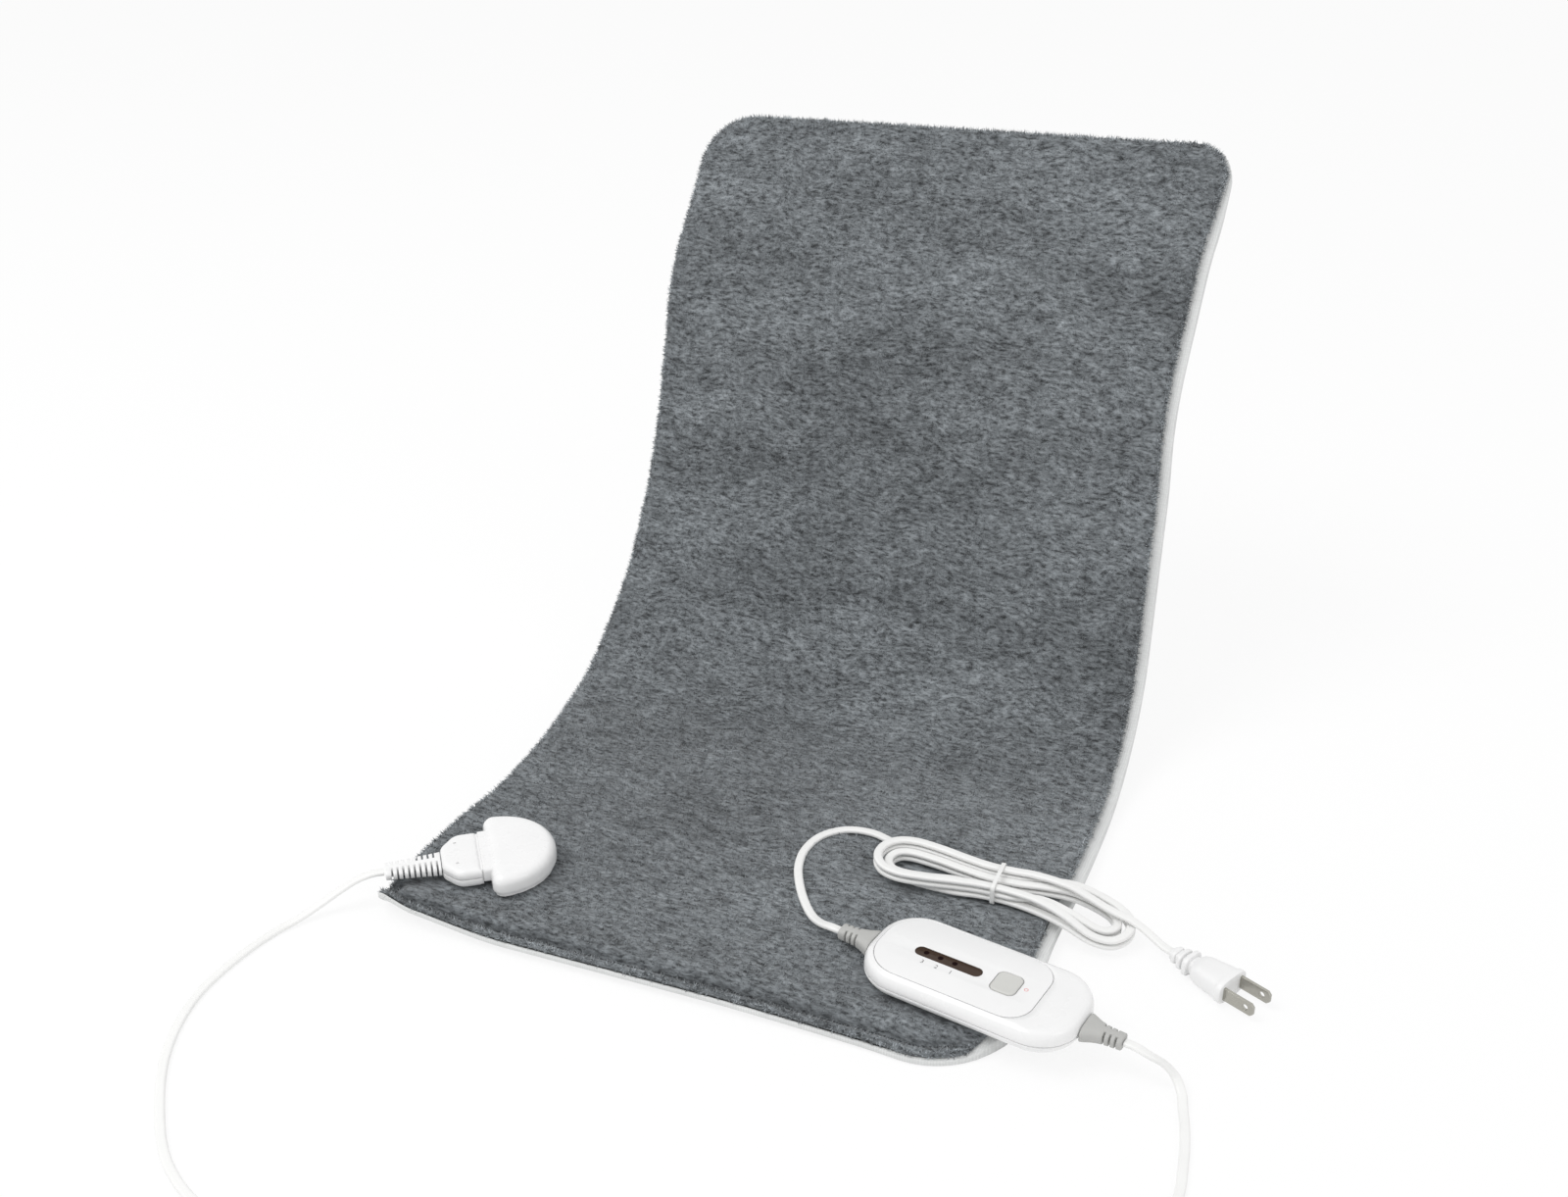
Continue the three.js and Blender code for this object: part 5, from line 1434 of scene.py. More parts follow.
def make_seam(name, line, finish, slot, closed):
    """Stitches along a line on the pad."""
    p = settings("pad")
    seam = grown(name, line_mesh(name + "_line", line, closed), stitch_tree(), {
        "Pitch": p.stitch_pitch, "Stitch Length": p.stitch, "Thread": p.thread,
        "Material": finish_for(finish),
    }, 180)
    return dressed(seam, finish, ROOT, slot)


# Tufts near the edge: how many more there are, and how near; then those of the rim, whose pale colour is a
# painted rim highlight
EDGE_CROWD, EDGE_WIDTH = 0.6, 3 * MM
RIM_CROWD, RIM_WIDTH = 2.2, 1.8 * MM
# The front thread over the seam's bottom, where it ends along the sides, and the rear thread
THREAD_RISE = 0.9 * MM
SEAM_END = 16 * MM
REAR_THREAD_HEIGHT = 0.35 * MM


class PadOperator(bpy.types.Operator):
    """Makes the pad: back and band, plush cover, pile and seams."""

    bl_idname = "heating_pad.pad"
    bl_label = "Pad"

    def execute(self, context):
        p = settings("pad")
        back = dressed(make_back(), "back fabric", ROOT, "band_fabric", "back_cover")
        cover = dressed(make_plush(), "plush", ROOT, "plush_fabric", "plush_front_cover")
        make_pile("plush_pile", lambda distance: 1 + EDGE_CROWD * (distance < EDGE_WIDTH), 7, "plush pile")
        # Pale tufts along the edge: a painted rim highlight
        make_pile("plush_rim", lambda distance: RIM_CROWD * (distance < RIM_WIDTH), 8, "plush rim")
        # The front seam's dark stitches: real thread, dark also as painted shade in the seam's groove
        height = p.flange - p.seam_depth + THREAD_RISE
        line = front_line(p.cover_edge + p.seam_inset, height, SEAM_END)
        make_seam("front_seam", line, "thread", "plush_fabric", False)
        line = seam_line(REAR_SEAM, REAR_THREAD_HEIGHT)
        make_seam("rear_seam", line, "pale thread", "band_fabric", True)
        return {"FINISHED"}


# Leads

# Routes in millimetres from the pad's origin: each a list of stations along the cord's middle
PAD_LEAD_ROUTE = [
    (-153.65, 19, 17.45), (-157.8, 16.05, 17.4), (-163.5, 11.8, 15.6), (-171, 5.4, 10.8), (-178, -2.5, 5.8),
    (-184, -12, 2.6), (-189, -22, 1.5), (-194, -44, 1.4), (-195, -75, 1.4), (-185, -108, 1.4),
    (-165, -139, 1.4), (-140, -165, 1.4), (-110, -179, 1.4), (-75, -176, 1.4), (-35, -162, 1.4),
    (5, -146, 1.4), (45, -130, 1.4), (90, -112, 1.4), (135, -95, 1.4), (180, -80, 1.4),
    (215, -68, 1.4), (235, -54, 1.4), (242, -36, 1.4), (241, -14, 1.4), (238, 5, 1.4),
    (235, 17, 1.5), (232.8, 25, 2.7), (229.2, 30, 6), (224, 30.6, 11), (217.4, 28.2, 16),
    (211.2, 28.6, 18.3), (206.2, 29.57, 18.35),
]
MAINS_LOOP_ROUTE = [
    (68, 56.43, 18.35), (63.1, 57.38, 18.3), (57.4, 60.4, 16.4), (50.5, 66.5, 14), (42.7, 76.2, 13.3),
    (35, 89, 13.3), (29.5, 102, 13.3), (27.5, 116, 13.3), (31, 130, 13.3), (41, 139.5, 13.4),
    (54, 141.3, 13.7), (66, 137, 14.2), (74.3, 132.8, 14.45),
]
MAINS_TAIL_ROUTE = [
    (139, 127.25, 21.1), (146, 126.5, 21.45), (153, 125.5, 21.5), (160, 124.6, 20.8),
    (166, 123.9, 19.1), (171, 123.4, 17.3), (177, 122.8, 15.1), (183, 122.1, 13.6), (189, 121.2, 12.6),
    (196, 119.6, 10.4), (202.3, 117.1, 7.9), (207.6, 114.3, 6.5), (211.7, 112.15, 6.5),
]

# Hank: for each run, its column and layer, and the steps at which a front run changes them
RUN_STEPS = 7
LAST_RUN_STEPS = 4
TURN_STEPS = 5
COLUMN_SHARES = [1, 0, 0, 1, 1]
LAYERS = [0, 0, 1, 1, 2]
CHANGE_STEPS = [(5, 7), (4, 5), (2, 3), (0, 2)]
WAIST = {"columns": (2.7 * MM, 7.6 * MM), "pitch": 3.15 * MM}
LEFT_END = {"columns": (8.5 * MM, 13.7 * MM), "pitch": 3.3 * MM}
RIGHT_END = {"columns": (8.6 * MM, 15 * MM), "pitch": 3.5 * MM}
DROOP = 27 * MM, 35 * MM


def hank_shape(x, column_share, layer):
    """Half width and height of a run of the hank at a place along it."""
    l = settings("leads")
    run, end = (l.left_run, LEFT_END) if x < 0 else (l.right_run, RIGHT_END)
    ease = (1 - math.cos(math.pi * min(abs(x) / run, 1))) / 2
    inner, outer = (w + (e - w) * ease for w, e in zip(WAIST["columns"], end["columns"]))
    pitch = WAIST["pitch"] + (end["pitch"] - WAIST["pitch"]) * ease
    return inner + (outer - inner) * column_share, l.hank_base + layer * pitch


def hank_point(x, y, level):
    """A station of the hank, which droops past the pad's edge."""
    l = settings("leads")
    fall = l.droop * float(ramp(x, *DROOP))
    return (l.hank_x + x, l.hank_y + y, level - fall)


def hank_route():
    """Stations of the hank's loops: back runs keep their place, front runs change column or layer."""
    l = settings("leads")
    route = []

    def run(side, start, end, column_at, layer_at, steps=RUN_STEPS):
        for i in range(steps + 1):
            x = start + (end - start) * i / RUN_STEPS
            half, level = hank_shape(x, column_at(i), layer_at(i))
            route.append(hank_point(x, side * half, level))

    def turn(side, end, column_share, layer):
        half, level = hank_shape(end, column_share, layer)
        for i in range(1, TURN_STEPS):
            sweep = math.pi * i / TURN_STEPS
            x = end + math.copysign(half * math.sin(sweep), end)
            route.append(hank_point(x, side * half * math.cos(sweep), level))

    for loop, (column, layer) in enumerate(zip(COLUMN_SHARES, LAYERS)):
        last = loop == len(LAYERS) - 1
        steps = LAST_RUN_STEPS if last else RUN_STEPS
        run(1, -l.left_run, l.right_run, lambda i: column, lambda i: layer, steps)
        if last:
            break
        turn(1, l.right_run, column, layer)
        next_column, next_layer = COLUMN_SHARES[loop + 1], LAYERS[loop + 1]
        first, final = CHANGE_STEPS[loop]

        def change(i):
            return float(ramp(i, first, final - first))

        run(
            -1, l.right_run, -l.left_run,
            lambda i: column + (next_column - column) * change(i),
            lambda i: layer + (next_layer - layer) * change(i),
        )
        turn(-1, -l.left_run, next_column, next_layer)
    return route


# Roundness of the cord's sides, and its groove's width as a share of the cord's
CORE_ROUND = 0.8
GROOVE_WIDTH = 0.17


def cord_section(sides=20):
    """The twin cord's section: two round cores side by side with a groove between them."""
    l = settings("leads")
    turns = (2 * np.arange(sides) + 1) * math.pi / sides
    cos, sin = np.cos(turns), np.sin(turns)
    across = np.sign(cos) * np.abs(cos) ** CORE_ROUND * l.width / 2
    waist = 1 - l.groove * ridge(across, 0, GROOVE_WIDTH * l.width)
    up = np.sign(sin) * np.abs(sin) ** CORE_ROUND * l.thickness / 2 * waist
    return across, up


def swept(name, path, across, up):
    """A tube whose section stays level along a path."""
    path = np.asarray(path, float)
    along = np.gradient(path, axis=0)
    along /= np.linalg.norm(along, axis=1)[:, None]
    side = np.cross(np.array((0, 0, 1.0)), along)
    side /= np.maximum(np.linalg.norm(side, axis=1), 1e-9)[:, None]
    rise = np.cross(along, side)
    rings = [p + across[:, None] * s + up[:, None] * r for p, s, r in zip(path, side, rise)]
    return lofted(name, rings, 70)


def lead_path(*routes):
    """A smooth path in the shared frame through all the routes, in metres."""
    return through(on_floor(np.vstack(routes)), 2 * MM)


class LeadsOperator(bpy.types.Operator):
    """Makes the pad lead and the mains lead with its tied hank."""

    bl_idname = "heating_pad.leads"
    bl_label = "Leads"

    def execute(self, context):
        l = settings("leads")
        across, up = cord_section()
        path = lead_path(millimetres(PAD_LEAD_ROUTE))[::-1]
        pad_lead = swept("pad_lead_cord", path, across, up)
        dressed(pad_lead, "cord jacket", None, "cord_white", "pad_lead")
        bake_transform(pad_lead)

        path = lead_path(millimetres(MAINS_LOOP_ROUTE), hank_route(), millimetres(MAINS_TAIL_ROUTE))
        mains_lead = swept("mains_lead_cord", path, across, up)
        dressed(
            mains_lead, "cord jacket", ROOT, "cord_white",
            "mains_lead_loop", "mains_lead_hank", "mains_lead_tail",
        )
        return {"FINISHED"}


# Socket cap, connector and reliefs


def set_in(piece, origin, turn):
    """Moves a piece from its own frame on the pad to its place in the shared frame."""
    place = Vector(origin) + PAD_ORIGIN
    return moved(piece, Matrix.Translation(place) @ Matrix.Rotation(turn, 4, "Z"))


CAP_SIDES, CAP_CORNER_SIDES = 22, 9


def cap_ring(inset):
    """The cap's half moon: a half ellipse, with small corners at its straight front."""
    s = settings("socket")
    centre = max(s.corner, inset)
    reach = s.depth - inset - centre
    half = s.half_width - inset
    upper = []
    for i in range(CAP_SIDES):
        turn = (2 * i + 1) * math.pi / (4 * CAP_SIDES)
        upper.append((centre + reach * math.cos(turn), half * math.sin(turn)))
    for turn in np.linspace(0, math.pi / 2, CAP_CORNER_SIDES):
        x = centre - (centre - inset) * math.sin(turn)
        upper.append((x, half - s.corner * (1 - math.cos(turn))))
    return mirrored(upper)


# Profiles are (inset, height) pairs in millimetres
CAP_PROFILE = [
    (0.25, 2.9), (0, 3.3), (0, 7.4), (0.3, 8.9), (1.1, 10.4), (2.4, 11.5), (4.4, 12.05), (8, 12.25),
    (12, 12.3),
]
CAP_SPACING = 0.7 * MM
# The collar's heights and corners, the bevel of its mouth, and its end inside the cap
COLLAR_LOW, COLLAR_HIGH, COLLAR_CORNER = 2.9 * MM, 11 * MM, 1.8 * MM
COLLAR_BEVEL = 0.25 * MM, 0.3 * MM
COLLAR_END = 2 * MM


def make_cap():
    """The half-moon cap, domed at its edge, with a collar for the connector."""
    s = settings("socket")
    outer = eased(millimetres(CAP_PROFILE), CAP_SPACING)
    cap = lofted("socket_cap", skin_rings(cap_ring, outer), 30)
    ring = rounded_ring(COLLAR_LOW, COLLAR_HIGH, s.collar_half_width, COLLAR_CORNER, 5)
    bevel, bevel_length = COLLAR_BEVEL
    stops = [(bevel, -s.collar), (0, -s.collar + bevel_length), (0, COLLAR_END)]
    collar = lofted("socket_collar", [upright_ring(ring(inset), x) for inset, x in stops], 30)
    for piece in (cap, collar):
        set_in(piece, (s.x, s.y, settings("pad").thickness), s.turn)
    return cap, collar


def connector_ends():
    """Where the connector's shells end, at the socket and at the lead."""
    s = settings("socket")
    front = -s.collar - s.gap
    return front, front - s.shell_length


CONNECTOR_ROUNDS = 1.2 * MM, 3 * MM, 2.4 * MM


def connector_ring():
    """Outline of the connector's shells, chamfered at the rear."""
    s = settings("socket")
    front, rear = connector_ends()
    half = s.shell_half_width
    corners = (front, half), (rear + s.chamfer_length, half), (rear, half - s.chamfer_depth)
    return filleted_ring([(*corner, r) for corner, r in zip(corners, CONNECTOR_ROUNDS)], 6)


LOWER_SHELL = [(3.4, 0.9), (1.6, 1.25), (0.5, 2.1), (0, 3.4), (0, 5.3), (0.12, 5.65), (0.5, 5.8)]
UPPER_SHELL = [(0.5, 6.1), (0.12, 6.25), (0, 6.6), (0, 8.4), (0.5, 9.8), (1.5, 10.7), (3.4, 11)]
DIMPLES = [(-15 * MM, 8.5 * MM), (-15 * MM, -8.5 * MM)]
DIMPLE_RADIUS, DIMPLE_FLOOR, DIMPLE_TOP = 0.75 * MM, 10.3 * MM, 12 * MM
# The core between the shells, and its nose in the collar: widths and heights, then the ends
CORE_SIDES, CORE_INSET = (-6 * MM, 6 * MM, 5.4 * MM, 6.5 * MM), 1 * MM
NOSE_SIDES = -15.3 * MM, 15.3 * MM, 1.7 * MM, 9.9 * MM
NOSE_REAR, NOSE_FRONT = 1.3 * MM, 0.03 * MM


def make_connector():
    """Two shells with a line between them, a core that closes the line, and the strain relief."""
    s = settings("socket")
    lower, upper = (
        lofted(name, skin_rings(connector_ring(), eased(millimetres(profile))), 50)
        for name, profile in (("connector_lower", LOWER_SHELL), ("connector_upper", UPPER_SHELL))
    )
    upper = cut(upper, rod_mesh("dimples", DIMPLES, DIMPLE_RADIUS, DIMPLE_FLOOR, DIMPLE_TOP), 50)
    front, rear = connector_ends()
    core = box_mesh("connector_core", [
        (rear + CORE_INSET, front - CORE_INSET, *CORE_SIDES),
        (-s.collar - NOSE_REAR, -s.collar - NOSE_FRONT, *NOSE_SIDES),
    ])
    relief = slotted_relief("connector_relief", CONNECTOR_RELIEF)
    moved(relief, Matrix.Translation((rear, 0, s.parting + s.gap / 2)) @ Matrix.Rotation(math.pi, 4, "Z"))
    for piece in (lower, upper, core, relief):
        set_in(piece, (s.x, s.y, settings("pad").thickness), s.turn)
    return lower, upper, core, relief


# Reliefs in millimetres: their ovals, and their slots, which leave a spine in the middle
CONNECTOR_RELIEF = {
    "sections": [
        (0.3, 7.6, 3.4), (6, 7, 3.2), (12.6, 6.4, 3), (20, 5.9, 2.8), (26.6, 5.45, 2.6), (27, 5, 2.3),
    ],
    "slot_width": 0.95, "pitch": 2.7, "count": 9, "first": 2.1, "spine": 1.3,
}
HANDSET_RELIEF = {
    "sections": [
        (0.45, 8, 4), (1.4, 7.75, 3.98), (2.5, 7.2, 3.9), (4.2, 6.25, 3.75), (6, 5.4, 3.6), (8, 4.8, 3.45),
        (10, 4.4, 3.3), (14, 4.15, 3.15), (17.7, 4, 3), (18, 3.7, 2.7),
    ],
    "slot_width": 1, "pitch": 2.7, "count": 3, "first": 8.6, "spine": 1.6,
}


RELIEF_SQUARENESS = 3.0
SLOT_REACH = 12 * MM
SLOT_EDGE = 0.14 * MM


def slotted_relief(name, spec):
    """A tapering sleeve along +X with staggered slots from both sides that leave a spine."""
    body = oval_loft(name, spec["sections"], RELIEF_SQUARENESS, 40)
    slots = []
    for i in range(spec["count"]):
        for side, stagger in ((1, 0), (-1, spec["pitch"] / 2)):
            start = (spec["first"] + i * spec["pitch"] + stagger - spec["slot_width"] / 2) * MM
            reach = sorted((side * spec["spine"] * MM, side * SLOT_REACH))
            slots.append((start, start + spec["slot_width"] * MM, *reach, -SLOT_REACH, SLOT_REACH))
    return softened(cut(body, box_mesh("slots", slots), 40), SLOT_EDGE, 1)


class SocketOperator(bpy.types.Operator):
    """Makes the half-moon socket cap on the pad."""

    bl_idname = "heating_pad.socket"
    bl_label = "Socket"

    def execute(self, context):
        cap, collar = make_cap()
        dressed(cap, "white moulding", ROOT, "case_white", "pad_socket_cap")
        dressed(collar, "white moulding", ROOT, "case_white")
        return {"FINISHED"}


class ConnectorOperator(bpy.types.Operator):
    """Makes the connector's shells and its slotted strain relief."""

    bl_idname = "heating_pad.connector"
    bl_label = "Connector"

    def execute(self, context):
        lower, upper, core, relief = make_connector()
        dressed(lower, "white moulding", CONNECTOR, "case_white", "connector_lower_shell")
        dressed(upper, "white moulding", CONNECTOR, "case_white", "connector_upper_shell")
        dressed(core, "white soft moulding", CONNECTOR, "case_white")
        dressed(relief, "white soft moulding", CONNECTOR, "cord_white", "connector_strain_relief")
        return {"FINISHED"}


# Handset

CASE_TOP = [(0.45, 6.6), (0.1, 6.75), (0, 7.1), (0, 8.4), (0.4, 10.4), (1.5, 12.3), (3.2, 13.28)]
CASE_BOTTOM = [(9, 0), (5.5, 0.4), (2.6, 1.7), (0.6, 4.2), (0, 5.6), (0, 6), (0.1, 6.2), (0.45, 6.3)]
CASE_CROWN = 0.19 * MM
# The faceplate's corners, and its recess: gaps round its floor and its rim, the depths of its rim
# and edge, and that of its floor under the plate
PLATE_CORNER, PLATE_END_CORNER = 17 * MM, 12 * MM
RECESS_GAP, RIM_GAP = 0.3 * MM, 0.55 * MM
RIM_DEPTH, EDGE_DEPTH, FLOOR_DEPTH = 0.02 * MM, 0.2 * MM, 0.3 * MM


def face_ring():
    """Outline of the handset's faceplate."""
    h = settings("handset")
    return rounded_ring(
        h.plate_start, h.plate_end, h.plate_half_width, PLATE_CORNER, 16, PLATE_END_CORNER)


def make_case():
    """The handset's two halves; the upper one has a shallow recess for the faceplate."""
    h = settings("handset")
    case_ring = rounded_ring(-h.length / 2, h.length / 2, h.width / 2, h.corner, 16)
    bottom, rings = (
        skin_rings(case_ring, eased(millimetres(profile))) for profile in (CASE_BOTTOM, CASE_TOP))
    recess, rim = face_ring()(-RECESS_GAP), face_ring()(-RIM_GAP)
    shoulder = CASE_TOP[-1][1] * MM
    last = rings[-1][:, :2]
    for t in np.linspace(0.2, 0.8, 5):
        lift = CASE_CROWN * math.sin(t * math.pi / 2)
        rings.append(level_ring(last * (1 - t) + rim * t, shoulder + lift))
    floor = h.plate_thickness + FLOOR_DEPTH
    for outline, depth in ((rim, RIM_DEPTH), (recess, EDGE_DEPTH), (recess, floor)):
        rings.append(level_ring(outline, h.height - depth))
    return lofted("handset_bottom", bottom, 50), lofted("handset_top", rings, 50)


def centred_ring(x, y, length, width, corner, grow):
    """An opening's outline about a place, grown outwards."""
    ring = rounded_ring(-length / 2 - grow, length / 2 + grow, width / 2 + grow, corner + grow, 8)(0)
    return ring + np.array((x, y))


WINDOW_Y, WINDOW_CORNER, WINDOW_GAP = -0.5 * MM, 3 * MM, 0.15 * MM
BUTTON_Y, BUTTON_CORNER, BUTTON_GAP = -0.3 * MM, 3.2 * MM, 0.35 * MM
BUTTON_SPACING = 0.25 * MM
# Profile of the button, whose highest line lies at 0
BUTTON_PROFILE = [(0, -3), (0, -1.4), (0.05, -0.6), (0.3, -0.15), (0.9, 0), (2.2, -0.05), (4.5, -0.14)]
FACE_EDGE = 0.14 * MM
FACE_RISE = 0.05 * MM
PANE_DROP = 0.08 * MM


def make_face():
    """Faceplate, indicator window and button."""
    h = settings("handset")
    window = (h.window_x, WINDOW_Y, h.window_length, h.window_width, WINDOW_CORNER)
    button = (h.button_x, BUTTON_Y, h.button_length, h.button_width, BUTTON_CORNER)
    window_way = centred_ring(*window, WINDOW_GAP + FACE_EDGE)
    button_way = centred_ring(*button, BUTTON_GAP + FACE_EDGE)
    low, high = h.height - h.plate_thickness, h.height + FACE_RISE
    plate = flat_piece(
        "handset_face", [face_ring()(FACE_EDGE), window_way, button_way], low, high, FACE_EDGE)
    pane = flat_piece(
        "window_pane", [centred_ring(*window, -FACE_EDGE)], low, h.height - PANE_DROP, FACE_EDGE)

    top = h.height + h.button_proud
    profile = [(i, z + top) for i, z in eased(millimetres(BUTTON_PROFILE), BUTTON_SPACING)]
    ring = rounded_ring(
        -h.button_length / 2, h.button_length / 2, h.button_width / 2, BUTTON_CORNER, 10)
    cap = lofted("button_cap", skin_rings(ring, profile), 40)
    return plate, pane, moved(cap, Matrix.Translation((h.button_x, BUTTON_Y, 0)))


# Places on the handset's face: the first and last lamp, the numbers, and the ring by the button
LAMP_ENDS = (-25.5 * MM, -11.2 * MM)
LAMP_DROP, LAMP_RADIUS, LAMP_DEPTH = 0.06 * MM, 1.25 * MM, 0.1 * MM
NUMBER_PLACES = {"3": -24.2 * MM, "2": -17.2 * MM, "1": -10.1 * MM}
NUMBER_Y = -7 * MM
NUMBER_SIZE = 3.4 * MM
RING_X, RING_Y = 23.4 * MM, 0.4 * MM
RING_RADII = (1 * MM, 0.68 * MM)
INK = 0.03 * MM


def dot_tree():
    """A row of round dots along a line."""
    g = GeometryTree("Dot row", [
        ("Count", "NodeSocketInt", 3), ("Radius", FLOAT, 0.001), ("Depth", FLOAT, 0.0002),
    ])
    line = g.node("GeometryNodeMeshToCurve", {"Mesh": g.given["Geometry"]}).outputs["Curve"]
    spread = g.node("GeometryNodeCurveToPoints", {"Curve": line, "Count": g.given["Count"]}, mode="COUNT")
    dot = g.node("GeometryNodeMeshCylinder", {
        "Vertices": 20, "Radius": g.given["Radius"], "Depth": g.given["Depth"]})
    return g.finish(spread.outputs["Points"], dot.outputs["Mesh"])


def make_dots():
    """Three faint lamps under the window."""
    height = settings("handset").height - LAMP_DROP
    line = line_mesh("lamp_line", [(x, WINDOW_Y, height) for x in LAMP_ENDS])
    return grown("window_lamps", line, dot_tree(), {
        "Count": 3, "Radius": LAMP_RADIUS, "Depth": LAMP_DEPTH, "Material": finish_for("lamp"),
    })


def make_numbers():
    """Plain level numbers printed below the window, and a small ring beside the button."""
    surface = settings("handset").height + FACE_RISE
    numbers = []
    for digit, x in NUMBER_PLACES.items():
        font = bpy.data.curves.new("level_" + digit, "FONT")
        font.body = digit
        font.size = NUMBER_SIZE
        font.extrude = INK
        font.align_x = font.align_y = "CENTER"
        mesh = taken(linked("holder", font))
        mesh.transform(Matrix.Translation((x, NUMBER_Y, surface)))
        numbers.append(show_mesh("level_number_" + digit, mesh))
    rings = [circle(RING_X, RING_Y, radius, 32) for radius in RING_RADII]
    return numbers, flat_piece("power_mark", rings, surface - INK, surface + INK, 0)


# The middle of the strain reliefs, above the parting line
RELIEF_RISE = 0.15 * MM


class HandsetOperator(bpy.types.Operator):
    """Makes the handset's case, face, window, marks, button and strain reliefs."""

    bl_idname = "heating_pad.handset"
    bl_label = "Handset"

    def execute(self, context):
        h = settings("handset")
        bottom, top = make_case()
        plate, pane, button = make_face()
        dots = make_dots()
        numbers, mark = make_numbers()
        pieces = [
            (bottom, "white moulding", ROOT, "case_white", "handset_bottom_shell"),
            (top, "white moulding", ROOT, "case_white", "handset_top_shell"),
            (plate, "white face", ROOT, "faceplate_white", "handset_faceplate"),
            (pane, "window", ROOT, "window_brown", "indicator_window"),
            (dots, "lamp", ROOT, "window_brown"),
            (button, "button plastic", BUTTON, "button_grey", "power_button"),
            (mark, "mark", ROOT, "faceplate_white"),
        ]
        pieces += [(number, "printing", ROOT, "faceplate_white") for number in numbers]
        shift = Matrix.Translation((h.length / 2, 0, h.parting + RELIEF_RISE))
        for end, turn in (("pad", 0), ("mains", math.pi)):
            relief = slotted_relief("handset_relief_" + end, HANDSET_RELIEF)
            moved(relief, Matrix.Rotation(turn, 4, "Z") @ shift)
            pieces.append((relief, "relief rubber", ROOT, "relief_grey", "handset_strain_relief_" + end))
        for piece, *look in pieces:
            set_in(piece, (h.x, h.y, settings("pad").thickness + h.rest), h.turn)
            dressed(piece, *look)
        return {"FINISHED"}


# Plug and tie

PLUG_RELIEF = [
    (0, 3, 2.2), (0.25, 3.2, 2.4), (1.4, 3.2, 2.4), (1.6, 4.0, 3.2), (1.9, 4.2, 3.4), (3.3, 4.2, 3.4),
    (3.6, 4.0, 3.2), (3.7, 3.4, 2.7), (5.3, 3.4, 2.7), (5.4, 5.0, 4.0), (5.7, 5.2, 4.2), (7.1, 5.2, 4.2),
    (7.4, 5.0, 4.0), (7.5, 3.8, 3), (9.1, 3.8, 3), (9.2, 6.2, 4.8), (9.5, 6.4, 5), (11.1, 6.4, 5),
    (11.4, 6.2, 4.8), (11.5, 4.4, 3.4), (13.1, 4.4, 3.4),
]
PLUG_BODY = [
    (13.1, 4.2, 3.2), (13.3, 5, 4), (14.6, 6.6, 4.8), (18, 7.8, 5.4), (25, 8.8, 5.7), (29, 9.2, 5.8),
    (29.9, 9.5, 5.85), (30.6, 10.3, 6), (31, 10.4, 6), (32.8, 10.4, 6), (33.2, 10.2, 5.85),
    (33.3, 9.9, 5.6),
]
PLUG_SQUARENESS = 3.2
# A blade's rest inside the body, its corners and edges, and its hole
BLADE_FOOT, BLADE_CORNER, BLADE_EDGE = 5 * MM, 1.4 * MM, 0.12 * MM
HOLE_RADIUS, HOLE_FROM_TIP = 1.6 * MM, 4.2 * MM


def make_plug():
    """The plug's ribbed relief, its body, and two flat blades with a hole in each."""
    p = settings("plug")
    relief = oval_loft("plug_relief", PLUG_RELIEF, PLUG_SQUARENESS, 30)
    body = oval_loft("plug_moulding", PLUG_BODY, PLUG_SQUARENESS, 30)
    face = PLUG_BODY[-1][0] * MM
    tip = face + p.blade_length
    half, thick = p.blade_width / 2, p.blade_thickness / 2
    outline = [
        (face - BLADE_FOOT, -half), (tip - BLADE_CORNER, -half), (tip, -half + BLADE_CORNER),
        (tip, half - BLADE_CORNER), (tip - BLADE_CORNER, half), (face - BLADE_FOOT, half),
    ]
    hole = circle(tip - HOLE_FROM_TIP, 0, HOLE_RADIUS, 24, -1)
    blades = []
    for number, side in ((1, 1), (2, -1)):
        blade = flat_piece(f"blade_{number}", [outline, hole], -thick, thick, BLADE_EDGE)
        turn = Matrix.Rotation(math.pi / 2, 4, "X")
        blades.append(moved(blade, Matrix.Translation((0, side * p.spacing / 2, 0)) @ turn))
    for piece in (relief, body, *blades):
        set_in(piece, (p.x, p.y, p.level), p.turn)
    return relief, body, blades


# Section of the tie, as (inset, place along the hank) in millimetres
TIE_PROFILE = [(0, -0.95), (0, 0.95), (-0.6, 1), (-0.8, 0.7), (-0.8, -0.7), (-0.6, -1), (0, -0.95)]
TIE_SIDE_GAP, TIE_GAP, TIE_CORNER = 0.7 * MM, 0.3 * MM, 1.8 * MM


def make_tie():
    """A thin band round the hank's waist."""
    l = settings("leads")
    half = WAIST["columns"][1] + l.width / 2 + TIE_SIDE_GAP
    low = l.hank_base - l.thickness / 2 - TIE_GAP
    high = l.hank_base + max(LAYERS) * WAIST["pitch"] + l.thickness / 2 + TIE_GAP
    ring = rounded_ring(low, high, half, TIE_CORNER, 6)
    shift = np.array((l.hank_x, l.hank_y, 0))
    rings = [on_floor(upright_ring(ring(inset), x) + shift) for inset, x in millimetres(TIE_PROFILE)]
    return lofted("hank_band", rings, 50, capped=False)


class PlugOperator(bpy.types.Operator):
    """Makes the mains plug, its ribbed relief and the hank's tie."""

    bl_idname = "heating_pad.plug"
    bl_label = "Plug and tie"

    def execute(self, context):
        relief, body, blades = make_plug()
        dressed(relief, "white soft moulding", ROOT, "cord_white", "plug_strain_relief")
        dressed(body, "white soft moulding", ROOT, "cord_white", "plug_body")
        for number, blade in enumerate(blades, 1):
            dressed(blade, "plated metal", ROOT, "contact_metal", f"plug_blade_{number}")
        dressed(make_tie(), "cord jacket", ROOT, "cord_white", "hank_tie")
        return {"FINISHED"}


# Inner parts and stage

